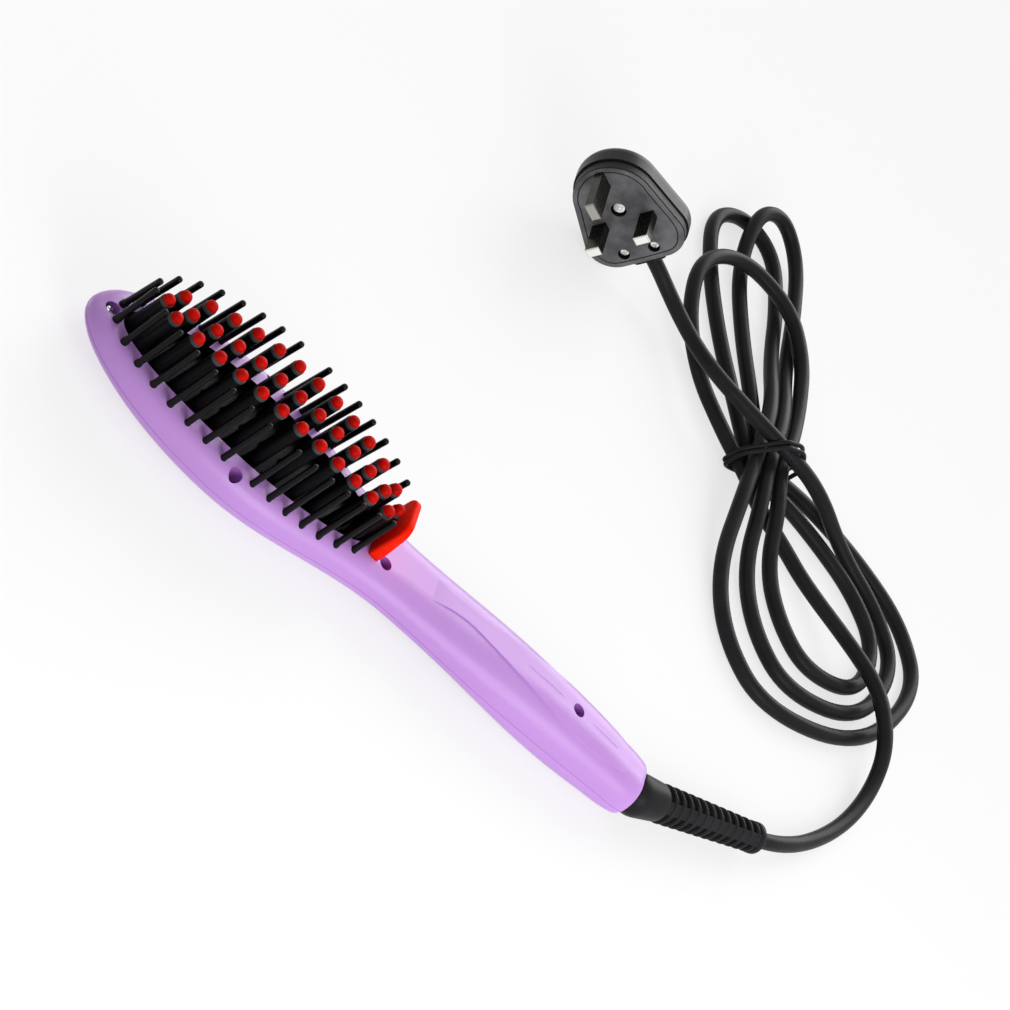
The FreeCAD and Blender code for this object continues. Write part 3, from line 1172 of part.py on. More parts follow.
cover = cover.cut(hollow).fuse([boss, exit_collar.cut(hollow)]).removeSplitter()
screw_bore = upright(0, PLUG_SCREW_AT, PLUG_SCREW_RADIUS, -well_depth - PLUG_SCREW_LENGTH - 0.4, 0)
cover = cover.cut([cord_hole, screw_bore])
save("plug_cover", set_plug(cover))


def blade(x, y, width, thickness, z0, z1):
    """A pin with its tip edges cut back."""
    block = bar(x, y, width, thickness, z0, z1)
    return block.makeChamfer(PIN_TIP, [e for e in block.Edges if e.BoundBox.ZMin > z1 - 0.1])


live_neutral = []
sleeves = []
for x in (live_x, neutral_x):
    core = bar(x, 0, core_width, core_thickness, -PIN_ROOT, SLEEVE_LENGTH + 1)
    live_neutral.append(joined([core, blade(x, 0, PIN_WIDTH, PIN_THICKNESS, SLEEVE_LENGTH, PIN_LENGTH)]))
    jacket = bar(x, 0, PIN_WIDTH, PIN_THICKNESS, 0.05, SLEEVE_LENGTH)
    sleeves.append(jacket.cut(bar(x, 0, core_width, core_thickness, -1, SLEEVE_LENGTH + 1)))
earth = blade(0, PIN_SPACING, PIN_THICKNESS, EARTH_WIDTH, -PLUG_BASE, EARTH_LENGTH)
save("line_pins", set_plug(Part.makeCompound(live_neutral)))
save("pin_sleeves", set_plug(Part.makeCompound(sleeves)))
save("earth_pin", set_plug(earth))

plug_screw = [(0, -PLUG_SCREW_LENGTH), (PLUG_SCREW_RADIUS, -PLUG_SCREW_LENGTH), (PLUG_SCREW_RADIUS, 0),
              (PLUG_SCREW_HEAD, 0), (PLUG_SCREW_HEAD, 1.2), (0.8 * PLUG_SCREW_HEAD, 1.7), (0, 1.7)]
cover_screw = driven(plug_screw, V(0, PLUG_SCREW_AT, -well_depth), up, 0.7, 3.6)
save("plug_screw", set_plug(cover_screw))
bar_depth = cord_depth - CORD_RADIUS
grip_screw_length = -well_depth - bar_depth + GRIP_BAR[2] - 0.4
grip_profile = [(0, -grip_screw_length), (GRIP_SCREW_RADIUS, -grip_screw_length), (GRIP_SCREW_RADIUS, 0),
                (GRIP_SCREW_HEAD, 0), (GRIP_SCREW_HEAD, 1.0), (0.8 * GRIP_SCREW_HEAD, 1.5), (0, 1.5)]
grip_places = [CORD_EXIT_OFFSET + side * GRIP_SCREW_OFFSET for side in (1, -1)]
grip_screws = [driven(grip_profile, V(x, GRIP_SCREW_AT, -well_depth), up, 0.6, 2.6) for x in grip_places]
save("grip_screws", set_plug(Part.makeCompound(grip_screws)))
grip = bar(CORD_EXIT_OFFSET, GRIP_SCREW_AT, GRIP_BAR[0], GRIP_BAR[1], bar_depth - GRIP_BAR[2], bar_depth)
grip = grip.cut([upright(x, GRIP_SCREW_AT, GRIP_SCREW_RADIUS, -40, 0) for x in grip_places])
save("plug_cord_grip", set_plug(grip))
fuse_axis = -PIN_ROOT - FUSE_RADIUS - FUSE_CLIP_GAP
fuse = Part.makeCylinder(FUSE_RADIUS, FUSE_LENGTH, V(live_x + 1.0, -9.0, fuse_axis), V(0, 1, 0))
save("plug_fuse", set_plug(fuse))

# Tail from the hank to the plug

mouth = plug_place.multVec(V(CORD_EXIT_OFFSET, -PLUG_FOOT - COLLAR_LENGTH - TAIL_MOUTH, cord_depth))
tail_end = plug_place.multVec(V(CORD_EXIT_OFFSET, GRIP_INNER_END, cord_depth))
tail_points = [hank_end, hank_end + end_way * TAIL_RUN] + [V(*p) for p in TAIL_ROUTE] + [mouth, tail_end]
tail = free_tube("cord tail", tail_points, CORD_RADIUS)
tail_route = rounded_route(tail_points)[0]
gap, place = least_gap(sample(tail_route, 2.0)[8:], hank_samples, 0)
print("tail gap to hank", round(gap - CORD_DIAMETER, 2), place, "mouth", mouth)
save("cord_tail", tail)
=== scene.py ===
import math

import bmesh
import bpy
from bpy.props import FloatProperty, FloatVectorProperty, IntProperty, PointerProperty
from mathutils import Matrix, Vector


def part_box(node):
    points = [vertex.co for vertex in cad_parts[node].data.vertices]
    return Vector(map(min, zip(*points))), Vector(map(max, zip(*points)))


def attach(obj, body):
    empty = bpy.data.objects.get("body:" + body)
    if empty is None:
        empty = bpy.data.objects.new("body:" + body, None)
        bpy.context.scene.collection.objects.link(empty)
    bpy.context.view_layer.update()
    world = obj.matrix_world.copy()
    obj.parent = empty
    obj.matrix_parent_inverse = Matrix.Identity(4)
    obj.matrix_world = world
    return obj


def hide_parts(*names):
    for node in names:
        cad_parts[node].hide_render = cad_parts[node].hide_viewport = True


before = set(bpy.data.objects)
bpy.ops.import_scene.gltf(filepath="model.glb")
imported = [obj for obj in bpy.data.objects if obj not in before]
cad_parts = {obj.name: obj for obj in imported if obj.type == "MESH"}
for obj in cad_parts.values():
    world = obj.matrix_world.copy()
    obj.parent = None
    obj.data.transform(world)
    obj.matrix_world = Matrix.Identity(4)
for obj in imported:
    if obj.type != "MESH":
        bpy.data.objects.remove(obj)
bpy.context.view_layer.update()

bl_info = {
    "name": "Hair straightening brush",
    "version": (1, 0, 0),
    "blender": (4, 5, 0),
    "location": "3D View > Sidebar > Brush",
    "description": "Dresses a heated hair brush, its tied cord and its plug",
    "category": "Object",
}

MM = 0.001
BODY = "brush"


def linear(code):
    """sRGB hex colour as linear red, green, blue and alpha."""
    parts = [int(code[i:i + 2], 16) / 255 for i in (1, 3, 5)]
    return tuple(p / 12.92 if p <= 0.04045 else ((p + 0.055) / 1.055) ** 2.4 for p in parts) + (1.0,)


def mm(*values):
    """A point given in millimetres, as metres."""
    return Vector(values) * MM


# Sizes and places are in millimetres and angles in degrees, unless a comment says otherwise.
# Head: places along it are measured from the middle of the heating plate.
PLATE_X = -68.0
PLATE_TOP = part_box("heat_plate")[1].z / MM
WINDOW_HALVES = (63.0, 18.2)

# Bristles: a row follows an oval that is broken in mid row, and leans inwards. Each half row has its count,
# its pitch and its way along X. A tip's height is the highest, less a factor times its place squared.
BRISTLE_OVAL = (66.5, 25.0)
BRISTLE_GAP_HALF = 7.3
TIP_SIDE = (8, 9.1, -1)
NECK_SIDE = (7, 8.5, 1)
BRISTLE_ROOT = 16.9
BRISTLE_TIP = (45.4, 0.00145)
BRISTLE_LEAN = 2.0

# Teeth: each row has its count and its side of the middle. Crowns fall off as the bristles' tips do.
TOOTH_PITCH = 9.8
TOOTH_ROWS = ((13, 0), (12, 1), (12, -1))
TOOTH_ROW_OFFSET = 12.3
TOOTH_ROW_REACH = 60.0
TOOTH_ROW_POWER = 2.53
TOOTH_CROWN = (44.4, 0.00233)
COLLAR_HEIGHT = 1.5

# Turned shapes, as shares of the radius and the height from foot to top, and their numbers of facets.
SMALLEST_RING = 0.02
BRISTLE_FOOT = 1.22
BRISTLE_FOOT_PROFILE = ((1.0, 0.0), (1.0, 0.085), (0.95, 0.1))
BRISTLE_SHAFT = (0.13, 0.25, 0.5, 0.75, 0.9, 0.97, 1.0)
BRISTLE_TIP_STEPS = 10
TOOTH_FOOT = 1.16
TOOTH_PROFILE = (
    (TOOTH_FOOT, 0.0), (1.06, 0.008), (1.0, 0.03), (0.99, 0.12), (0.975, 0.25), (0.96, 0.4), (0.945, 0.55),
    (0.93, 0.7), (0.915, 0.85), (0.905, 0.95), (0.9, 0.982), (0.885, 0.992), (0.85, 0.998), (0.8, 1.0),
    (0.6, 1.0), (0.3, 1.0), (SMALLEST_RING, 1.0))
COLLAR_SHARE = 0.925
COLLAR_PROFILE = (
    (0.7, 0.0), (0.98, 0.0), (1.0, 0.04), (1.0, 0.3), (1.0, 0.6), (1.0, 0.86), (0.98, 0.95), (0.95, 1.0),
    (0.7, 1.0))
CAP_SKIRT = ((0.9, 0.0), (0.97, 0.0), (1.0, 0.04), (1.0, 0.12))
CAP_DOME = 0.88
CAP_DOME_STEPS = 13
RIB_HALF = ((0.6, 0.0), (0.86, 0.0), (0.92, 0.06), (0.96, 0.15), (0.985, 0.27), (1.0, 0.42))
RIB_CREST = (1.0, 0.5)
BRISTLE_FACETS = 20
TOOTH_FACETS = 28
BOOT_FACETS = 48
HARD_EDGE = 40.0

# Shells: level of each one's colour, the rear shell's higher level being painted light from the floor below;
# where the parting's dark line is full and where it ends; and how far the masks of the wells' painted shade
# and of the window's near black wall reach past them.
SHELL_LEVELS_WITH_PAINTED_BOUNCE = {"front_shell": 1.0, "rear_shell": 1.06}
SHELL_SHADE = 0.96
PARTING_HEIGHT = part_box("front_shell")[0].z / MM
PARTING_LINE = (0.08, 0.3)
PARTING_SHARE = 0.65
WELLS = ((-136.2, 0), (-68, -26.4), (-68, 26.4), (3, -7), (3, 7), (101.6, 0))
WELL_RADIUS = 2.8
WELL_SLACK = 0.07
WINDOW_SLACK = 0.004

# Ridge on the grip: its two runs, and how deep its line lies in the shell along them and at their ends.
RIDGE_RUNS = ((72, 96), (108, 126))
RIDGE_STEPS = 8
RIDGE_RADIUS = 0.45
RIDGE_SINK = 0.25
RIDGE_END_SINK = 0.6
ABOVE_BRUSH = 100.0

# Marks on the buttons.
MARK_HALF = 1.5
MARK_LINE = 0.25
MARK_SINK = 0.15
POWER_ARC = range(50, 311, 20)
POWER_BAR = ((0.4, 0), (1.1, 0), (1.9, 0))

# Strain relief: a round foot on the handle's end and a ribbed sleeve that tapers and leans to the far side.
# The outline is radius and distance from the foot's middle. A rib's start and width are shares of the pitch.
BALL_CENTRE = (146.4, 0.0, 12.2)
HANDLE_GAP = 0.3
HANDLE_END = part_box("front_shell")[1].x / MM + HANDLE_GAP
BOOT_TURN = 27.0
BOOT_DIP = 3.0
BOOT_LENGTH = 74.0
BOOT_COLLAR = 12.7
BOOT_TIP = 3.2
BOOT_BACK = 6.0
BOOT_OUTLINE = (
    (2.0, -6), (6.7, -6), (7.5, -5), (8.05, -4), (8.5, -3), (8.8, -2), (8.95, -1), (9.0, 0), (8.9, 2),
    (8.6, 5), (8.3, 8), (8.1, 10), (7.9, 11.9), (7.7, 12.5), (6.5, 13), (6.05, 30), (5.6, 45), (5.1, 60),
    (4.8, 70.8), (6.2, 71), (6.5, 71.4), (6.5, 73.4), (6.1, 74), (2.0, 74))
BOOT_RIB = (8.0, 6.4)
RIB_START = 0.45
RIB_WIDTH = 0.4
SPINE_WAYS = ((0.34, -0.57, 0.75), (-0.34, 0.57, -0.75))
SPINE_HALF = 2.6
SPINE_SINK = 0.3
SPINE_OVERLAP = 1.0
SPINE_FOOT = 0.5
SPINE_SHOULDER = 0.93

# Route of the cord. A loop has its heading, length, half width and bluntness, and a layer at each step round
# it. Slots are places side by side in the waist, counted in steps.
CORD_DIAMETER = 6.8
LEAD_RUN = 12.0
LEAD_ROUTE = (
    (243, 58, 4.6), (261, 84, 3.6), (270, 110, 6.2), (267.5, 131, 13.4), (257, 154, 14.2), (240, 170, 9.0),
    (213, 186, 3.6))
LEAD_END = 14.0
HANK_WAIST = Vector((171.0, 220.0, 0.0))
UPPER_LOBES = ((112.0, 104.0, 31.0, 2.2), (106.0, 139.0, 22.0, 2.6), (99.0, 146.0, 18.5, 2.6))
LOWER_LOBES = ((-38.0, 102.0, 31.5, 2.0), (-45.0, 124.0, 61.5, 2.0), (-42.0, 113.0, 45.5, 2.0))
LOBE_STEPS = (24, 38, 52, 68, 90, 112, 128, 142, 156)
LOBE_FULLNESS = 2.598
UPPER_LAYERS = (
    (0, 0, 0.5, 1.1, 1.1, 1.1, 1.05, 1, 1), (0, 0, 0, 0, 0, 0, 0, 0.2, 1), (0, 0, 0.03, 1, 1, 0.3, 0, 0.2, 1))
LOWER_LAYERS = (
    (1, 0.2, 0, 0, 0, 0, 0, 0, 0), (1, 0.2, 0, 0, 0, 0, 0, 0, 0), (1, 0.2, 0, 0, 0, 0, 0, 0.4, 1.7))
LAYER_STEP = CORD_DIAMETER + 0.9
RISING_STEP = CORD_DIAMETER + 0.8
FALLING_STEP = CORD_DIAMETER + 0.4
RISING_SLOTS = (-1.5, -0.5, 0.8, 0.1)
FALLING_SLOTS = (1, -1, 0)
RISING_HEADING = 155.0
FALLING_HEADING = 258.0
EXIT_HEADING = 168.0
WAIST_LIFT = 2.7
WAIST_SHARE = 0.35
TOP_LAYER = 2.08
EXIT_LAYER = 1.8
ENTRY_RUN = 20.0
EXIT_RUN = 27.0
OUTWARD = 0.125
TAIL_RUN = 14.0
TAIL_ROUTE = (
    (120.5, 243.2, 12.1), (108.3, 254.4, 10.1), (97, 260.3, 11.6), (84.1, 261.9, 16.1), (67.5, 261.9, 21.5))

# Tie: one turn of its wire, as places across the waist and up, and how far the two turns stand apart.
TIE_HEADING = 120.0
TIE_TURN = (
    (0, 1.1), (17.4, 1.1), (17.4, 7), (17.4, 12.9), (10.5, 19.8), (3.6, 26.7), (-1.8, 26.7), (-7.2, 26.7),
    (-12.5, 21.4), (-17.8, 16.1), (-17.8, 8.6), (-17.8, 1.1))
TIE_SPREAD = 1.5
TIE_CLOSING = 0.025

# Steps of a smooth line between two of its points, and around a quarter of its round section.
CORD_STEPS = 10
WIRE_STEPS = 8
ROUND_STEPS = 6

# Plug: middle and tilt of its pin face, depths where its sides are black and where they are the painted
# grey of the face, the line in the face's rim, and the distances from a pin's end where its painted highlight
# is full and where it ends.
PLUG_FACE = (56.7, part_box("plug_base")[0].y / MM, 25.6)
PLUG_TILT = 18.0
PLUG_SIDE_DEPTHS = (0.25, 0.1)
RIM_SIDE = ((10, -19.5), (15.2, -18.6), (18.6, -14.2), (19.9, -8.5), (17.4, 2.7), (15.2, 12))
RIM_CROWN = (10.3, 15.75)
RIM_ARC = range(14, 167, 19)
RIM_SINK = 0.2
RIM_LINE = 0.35
# A painted highlight at each pin's end, brighter on the line pins than on the earth pin.
PIN_PAINTED_HIGHLIGHT = {"line_pins": "#FAF8F2", "earth_pin": "#A8A69E"}
PIN_HIGHLIGHT_REACH = (0.15, 1.6)

# Camera of the photograph: its place, its ways right and down, its lens, and its range of sight in metres.
CAMERA_PLACE = (-534.8, -1045.2, 895.7)
CAMERA_WAYS = ((0.6776, 0.2033, 0.7067), (0.63, -0.6562, -0.4153))
CAMERA_LENS = 142.57
CAMERA_CLIP = (0.05, 30.0)

# Stage, in metres and watts: the floor, the share of its own light that is seen, the room's light beyond the
# tip of the head and beyond the handle, a broad sun on the far side and a soft disc near the handle.
FLOOR_HALF = 4.0
FLOOR_DROP = 0.02 * MM
FLOOR_GLOW = 0.7
ROOM_LEVELS = (0.2, 0.8)
KEY_LEVEL = 1.8
KEY_WIDTH = 45.0
KEY_PLACE = (0.35, 0.9, 0.5)
FILL_POWER = 2.9
FILL_WIDTH = 0.5
FILL_PLACE = (0.33, -0.55, 0.38)
FILL_AIM = (0.03, 0.0, 0.02)
WHITE = (1.0, 1.0, 1.0, 1.0)

# Noise keeps near its middle, so these stretches of it are spread over a whole drift.
PATCH_SPREAD = (0.35, 0.65)
GRAIN_SPREAD = (0.3, 0.7)

# Points of a mesh closer than this, in metres, are one point.
MERGE = 1e-7


class BrushSizes(bpy.types.PropertyGroup):
    """Sizes that a user would change"""
    bristle_radius: FloatProperty(
        name="Bristle radius", description="Radius of a bristle", default=1.3 * MM, unit="LENGTH")
    tooth_radius: FloatProperty(
        name="Tooth radius", description="Radius of a tooth at its foot", default=3.0 * MM, unit="LENGTH")
    cap_radius: FloatProperty(
        name="Cap radius", description="Radius of the soft cap on a tooth", default=2.5 * MM, unit="LENGTH")
    cap_height: FloatProperty(
        name="Cap height", description="Height of the soft cap on a tooth", default=2.7 * MM, unit="LENGTH")
    rib_count: IntProperty(
        name="Ribs", description="Number of ribs on the strain relief", default=12, min=4, max=30)
    cord_diameter: FloatProperty(
        name="Cord diameter", description="Diameter of the mains cord", default=CORD_DIAMETER * MM,
        unit="LENGTH")
    tie_radius: FloatProperty(
        name="Tie radius", description="Radius of the tie's wire", default=1.0 * MM, unit="LENGTH")


# What every colour property has.
COLOUR = {"subtype": "COLOR", "size": 4, "min": 0, "max": 1}


class BrushColours(bpy.types.PropertyGroup):
    """Colours that a user would change"""
    shell: FloatVectorProperty(
        name="Shell", description="Colour of both shells", default=linear("#C492DD"), **COLOUR)
    caps: FloatVectorProperty(
        name="Caps", description="Colour of the tooth caps", default=linear("#D01005"), **COLOUR)
    guard: FloatVectorProperty(
        name="Guard", description="Colour of the end guard", default=linear("#FF2609"), **COLOUR)
    bristles: FloatVectorProperty(
        name="Bristles", description="Colour of the bristles", default=linear("#050506"), **COLOUR)
    cord: FloatVectorProperty(
        name="Cord", description="Colour of the cord's sheath", default=linear("#1E1E20"), **COLOUR)
    # The pin face's grey is painted light on black plastic.
    plug: FloatVectorProperty(
        name="Plug", description="Colour of the plug's pin face", default=linear("#707072"), **COLOUR)
    floor: FloatVectorProperty(
        name="Floor", description="Colour of the floor", default=(0.98, 0.98, 0.98, 1.0), **COLOUR)


def add(tree, kind, inputs=None, **settings):
    """One node with its settings; an input is a value or the socket that feeds it."""
    node = tree.nodes.new(kind)
    for name, value in settings.items():
        setattr(node, name, value)
    for name, value in (inputs or {}).items():
        if isinstance(value, bpy.types.NodeSocket):
            tree.links.new(value, node.inputs[name])
        else:
            node.inputs[name].default_value = value
    return node


def empty_tree(owner):
    """The node tree of a material or the world, with nothing in it yet."""
    owner.use_nodes = True
    owner.node_tree.nodes.clear()
    return owner.node_tree


def per(size_mm):
    """Texture scale for a pattern of that size, on coordinates in metres."""
    return 1 / (size_mm * MM)


def surface(name, colour, shade, patch, grain, depth, rough, stretch=(1, 1, 1), specular=0.5, **constants):
    """A material whose colour drifts to a second shade in soft patches, with a fine grain on its surface.
    A colour is a hex code or a property's value. Patch, grain and the grain's depth are in millimetres, and
    a stretch below 1 draws the grain out along that axis."""
    colour, shade = (linear(c) if isinstance(c, str) else tuple(c) for c in (colour, shade))
    material = bpy.data.materials.new(name)
    tree = empty_tree(material)
    place = add(tree, "ShaderNodeTexCoord").outputs["Object"]
    patches = add(tree, "ShaderNodeTexNoise", {"Vector": place, "Scale": per(patch), "Detail": 3.0})
    drift = add(tree, "ShaderNodeMapRange", {
        "Value": patches.outputs["Fac"], "From Min": PATCH_SPREAD[0], "From Max": PATCH_SPREAD[1]})
    mixed = add(tree, "ShaderNodeMix", {0: drift.outputs["Result"], 6: colour, 7: shade}, data_type="RGBA")
    # The grain of mouldings and platings is hundredths of a millimetre wide, too fine to show, so it is drawn
    # tenths of a millimetre wide or wider.
    run = add(tree, "ShaderNodeMapping", {"Vector": place, "Scale": stretch}).outputs["Vector"]
    noise = add(tree, "ShaderNodeTexNoise", {"Vector": run, "Scale": per(grain), "Detail": 2.0})
    bump = add(tree, "ShaderNodeBump", {
        "Height": noise.outputs["Fac"], "Strength": 1.0, "Distance": depth * MM})
    gloss = add(tree, "ShaderNodeMapRange", {
        "Value": noise.outputs["Fac"], "From Min": GRAIN_SPREAD[0], "From Max": GRAIN_SPREAD[1],
        "To Min": rough[0], "To Max": rough[1]})
    shader = add(tree, "ShaderNodeBsdfPrincipled", {
        "Base Color": mixed.outputs[2], "Roughness": gloss.outputs["Result"],
        "Normal": bump.outputs["Normal"], "Specular IOR Level": specular, **constants})
    add(tree, "ShaderNodeOutputMaterial", {"Surface": shader.outputs["BSDF"]})
    return material


def dress(material, *nodes):
    """Gives CAD nodes a material."""
    for name in nodes:
        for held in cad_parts[name].material_slots:
            held.material = material


def tinted(material, code, share):
    """Lays a second colour over a material; share makes its mask from the tree and the place on the piece."""
    tree = material.node_tree
    paint = tree.nodes["Principled BSDF"].inputs["Base Color"]
    place = add(tree, "ShaderNodeTexCoord").outputs["Object"]
    mask = share(tree, place)
    mixed = add(tree, "ShaderNodeMix", {
        0: mask, 6: paint.links[0].from_socket, 7: linear(code)}, data_type="RGBA")
    tree.links.new(mixed.outputs[2], paint)


def at_parting(tree, place):
    """Mask of the thin line where the shells meet."""
    full, end = PARTING_LINE
    height = add(tree, "ShaderNodeSeparateXYZ", {"Vector": place}).outputs["Z"]
    above = add(tree, "ShaderNodeMath", {0: height, 1: PARTING_HEIGHT * MM}, operation="SUBTRACT").outputs[0]
    away = add(tree, "ShaderNodeMath", {0: above}, operation="ABSOLUTE").outputs[0]
    return add(tree, "ShaderNodeMapRange", {
        "Value": away, "From Min": full * MM, "From Max": end * MM,
        "To Min": PARTING_SHARE, "To Max": 0.0}).outputs["Result"]


def in_wells_painted_shade(tree, place):
    """Mask of the walls of the screw wells, where shade is painted."""
    flat = add(tree, "ShaderNodeVectorMath", {0: place, 1: (1, 1, 0)}, operation="MULTIPLY").outputs[0]
    nearest = 1.0
    for x, y in WELLS:
        away = add(tree, "ShaderNodeVectorMath", {
            0: flat, 1: mm(x, y, 0)}, operation="DISTANCE").outputs["Value"]
        nearest = add(tree, "ShaderNodeMath", {0: away, 1: nearest}, operation="MINIMUM").outputs[0]
    reach = (WELL_RADIUS + WELL_SLACK) * MM
    return add(tree, "ShaderNodeMath", {0: nearest, 1: reach}, operation="LESS_THAN").outputs[0]


def in_window(tree, place):
    """Mask of the wall of the heating plate's window."""
    long, wide = WINDOW_HALVES
    away = add(tree, "ShaderNodeVectorMath", {
        0: place, 1: mm(PLATE_X, 0, 0)}, operation="SUBTRACT").outputs[0]
    shares = add(tree, "ShaderNodeVectorMath", {0: away, 1: (per(long), per(wide), 0)}, operation="MULTIPLY")
    reach = add(tree, "ShaderNodeVectorMath", {0: shares.outputs[0]}, operation="LENGTH").outputs["Value"]
    return add(tree, "ShaderNodeMath", {0: reach, 1: 1 + WINDOW_SLACK}, operation="LESS_THAN").outputs[0]


def along_y(full, none):
    """Makes the mask that fades along Y, from all of the second colour at one place to none at another."""
    def share(tree, place):
        reach = add(tree, "ShaderNodeSeparateXYZ", {"Vector": place}).outputs["Y"]
        return add(tree, "ShaderNodeMapRange", {
            "Value": reach, "From Min": full * MM, "From Max": none * MM,
            "To Min": 1.0, "To Max": 0.0}).outputs["Result"]
    return share


def outward(mesh):
    """Turns a closed mesh's faces outwards."""
    form = bmesh.new()
    form.from_mesh(mesh)
    bmesh.ops.remove_doubles(form, verts=form.verts, dist=MERGE)
    bmesh.ops.recalc_face_normals(form, faces=form.faces)
    form.to_mesh(mesh)
    form.free()


def placed(name, data):
    """A new object in the scene."""
    obj = bpy.data.objects.new(name, data)
    bpy.context.scene.collection.objects.link(obj)
    return obj


def plain_mesh(obj):
    """What an object shows, as a plain mesh; its modifiers and the object itself are removed."""
    mesh = bpy.data.meshes.new_from_object(obj.evaluated_get(bpy.context.evaluated_depsgraph_get()))
    obj.modifiers.clear()
    bpy.data.objects.remove(obj)
    return mesh


def piece(name, mesh, slot, *replaced, body=BODY):
    """A finished mesh as a piece that rides on a body."""
    obj = placed(name, mesh)
    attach(obj, body)
    if replaced:
        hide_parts(*replaced)
    return obj


def turned_tree(name, profile, facets):
    """Node tree that stands a turned shape on every point, along the point's way and stretched by its scale.
    profile holds shares of the radius and the height, from the foot to the top."""
    tree = bpy.data.node_groups.new(name, "GeometryNodeTree")
    sockets = (("Points", "Geometry"), ("Radius", "Float"), ("Height", "Float"), ("Material", "Material"))
    for label, kind in sockets:
        tree.interface.new_socket(label, in_out="INPUT", socket_type="NodeSocket" + kind)
    tree.interface.new_socket("Shapes", in_out="OUTPUT", socket_type="NodeSocketGeometry")
    given = add(tree, "NodeGroupInput").outputs
    last = len(profile) - 1
    index = add(tree, "GeometryNodeInputIndex").outputs["Index"]
    share = add(tree, "ShaderNodeMath", {0: index, 1: float(last)}, operation="DIVIDE").outputs[0]
    sized = []
    for column, size in ((1, "Height"), (0, "Radius")):
        curve = add(tree, "ShaderNodeFloatCurve", {"Value": share})
        points = curve.mapping.curves[0].points
        for i in range(1, last):
            points.new(i / last, profile[i][column])
        for i, point in enumerate(points):
            point.location = (i / last, profile[i][column])
            point.handle_type = "VECTOR"
        curve.mapping.update()
        sized.append(add(tree, "ShaderNodeMath", {0: curve.outputs["Value"], 1: given[size]},
                         operation="MULTIPLY").outputs[0])
    line = add(tree, "GeometryNodeMeshLine", {"Count": last + 1})
    place = add(tree, "ShaderNodeCombineXYZ", {"Z": sized[0]})
    axis = add(tree, "GeometryNodeSetPosition", {"Geometry": line.outputs[0], "Position": place.outputs[0]})
    curve = add(tree, "GeometryNodeMeshToCurve", {"Mesh": axis.outputs[0]})
    ring = add(tree, "GeometryNodeCurvePrimitiveCircle", {"Resolution": facets, "Radius": 1.0})
    shape = add(tree, "GeometryNodeCurveToMesh", {
        "Curve": curve.outputs[0], "Profile Curve": ring.outputs["Curve"], "Scale": sized[1],
        "Fill Caps": True})
    way = add(tree, "GeometryNodeInputNamedAttribute", {"Name": "way"}, data_type="FLOAT_VECTOR")
    scale = add(tree, "GeometryNodeInputNamedAttribute", {"Name": "scale"}, data_type="FLOAT_VECTOR")
    turn = add(tree, "FunctionNodeAlignRotationToVector", {"Vector": way.outputs[0]}, axis="Z")
    stood = add(tree, "GeometryNodeInstanceOnPoints", {
        "Points": given["Points"], "Instance": shape.outputs[0], "Rotation": turn.outputs[0],
        "Scale": scale.outputs[0]})
    real = add(tree, "GeometryNodeRealizeInstances", {"Geometry": stood.outputs[0]})
    smooth = add(tree, "GeometryNodeSetShadeSmooth", {"Geometry": real.outputs[0]})
    angle = add(tree, "GeometryNodeInputMeshEdgeAngle").outputs[0]
    hard = add(tree, "FunctionNodeCompare", {0: angle, 1: math.radians(HARD_EDGE)}, operation="GREATER_THAN")
    edges = add(tree, "GeometryNodeSetShadeSmooth", {
        "Geometry": smooth.outputs[0], "Selection": hard.outputs[0], "Shade Smooth": False}, domain="EDGE")
    painted = add(tree, "GeometryNodeSetMaterial", {
        "Geometry": edges.outputs[0], "Material": given["Material"]})
    add(tree, "NodeGroupOutput", {"Shapes": painted.outputs[0]})
    return tree


def grown(name, tree, places, radius, height, material):
    """Runs a tree over places, each a point, a way and a scale, and returns the result as a plain mesh."""
    values = {"Radius": radius, "Height": height, "Material": material}
    mesh = bpy.data.meshes.new(name)
    mesh.from_pydata([point for point, way, scale in places], [], [])
    for label, column in (("way", 1), ("scale", 2)):
        attribute = mesh.attributes.new(label, "FLOAT_VECTOR", "POINT")
        attribute.data.foreach_set("vector", [x for place in places for x in place[column]])
    obj = placed(name, mesh)
    modifier = obj.modifiers.new(name, "NODES")
    modifier.node_group = tree
    for socket in tree.interface.items_tree:
        if socket.name in values:
            modifier[socket.identifier] = values[socket.name]
    result = plain_mesh(obj)
    outward(result)
    return result


def nurbs(name, rows, radius, steps, closed=False):
    """A round NURBS line along each row of control points, in millimetres."""
    curve = bpy.data.curves.new(name, "CURVE")
    curve.dimensions = "3D"
    curve.bevel_depth = radius
    curve.bevel_resolution = ROUND_STEPS
    curve.use_fill_caps = not closed
    for points in rows:
        spline = curve.splines.new("NURBS")
        spline.points.add(len(points) - 1)
        for place, point in zip(spline.points, points):
            place.co = (*(point * MM), 1.0)
        spline.order_u = 3
        spline.use_endpoint_u = not closed
        spline.use_cyclic_u = closed
        spline.resolution_u = steps
    return curve


def wire(name, rows, radius, material, slot, *replaced, body=BODY, closed=False):
    """Round wires along rows of control points, as one piece."""
    mesh = plain_mesh(placed(name, nurbs(name, rows, radius, WIRE_STEPS, closed)))
    outward(mesh)
    mesh.materials.clear()
    mesh.materials.append(material)
    return piece(name, mesh, slot, *replaced, body=body)


def arc(radius, angles, rise=0.0):
    """Points on a circle, whose middle lies that far up."""
    turns = [math.radians(a) for a in angles]
    return [(radius * math.cos(turn), rise + radius * math.sin(turn)) for turn in turns]


def rounded_tip(straight, share, steps):
    """Profile of a rod with a round tip that takes up that share of its height."""
    profile = [(1.0, h * (1 - share)) for h in straight]
    for i in range(1, steps + 1):
        turn = math.radians(90 * i / steps)
        profile.append((max(math.cos(turn), SMALLEST_RING), 1 - share + share * math.sin(turn)))
    return profile


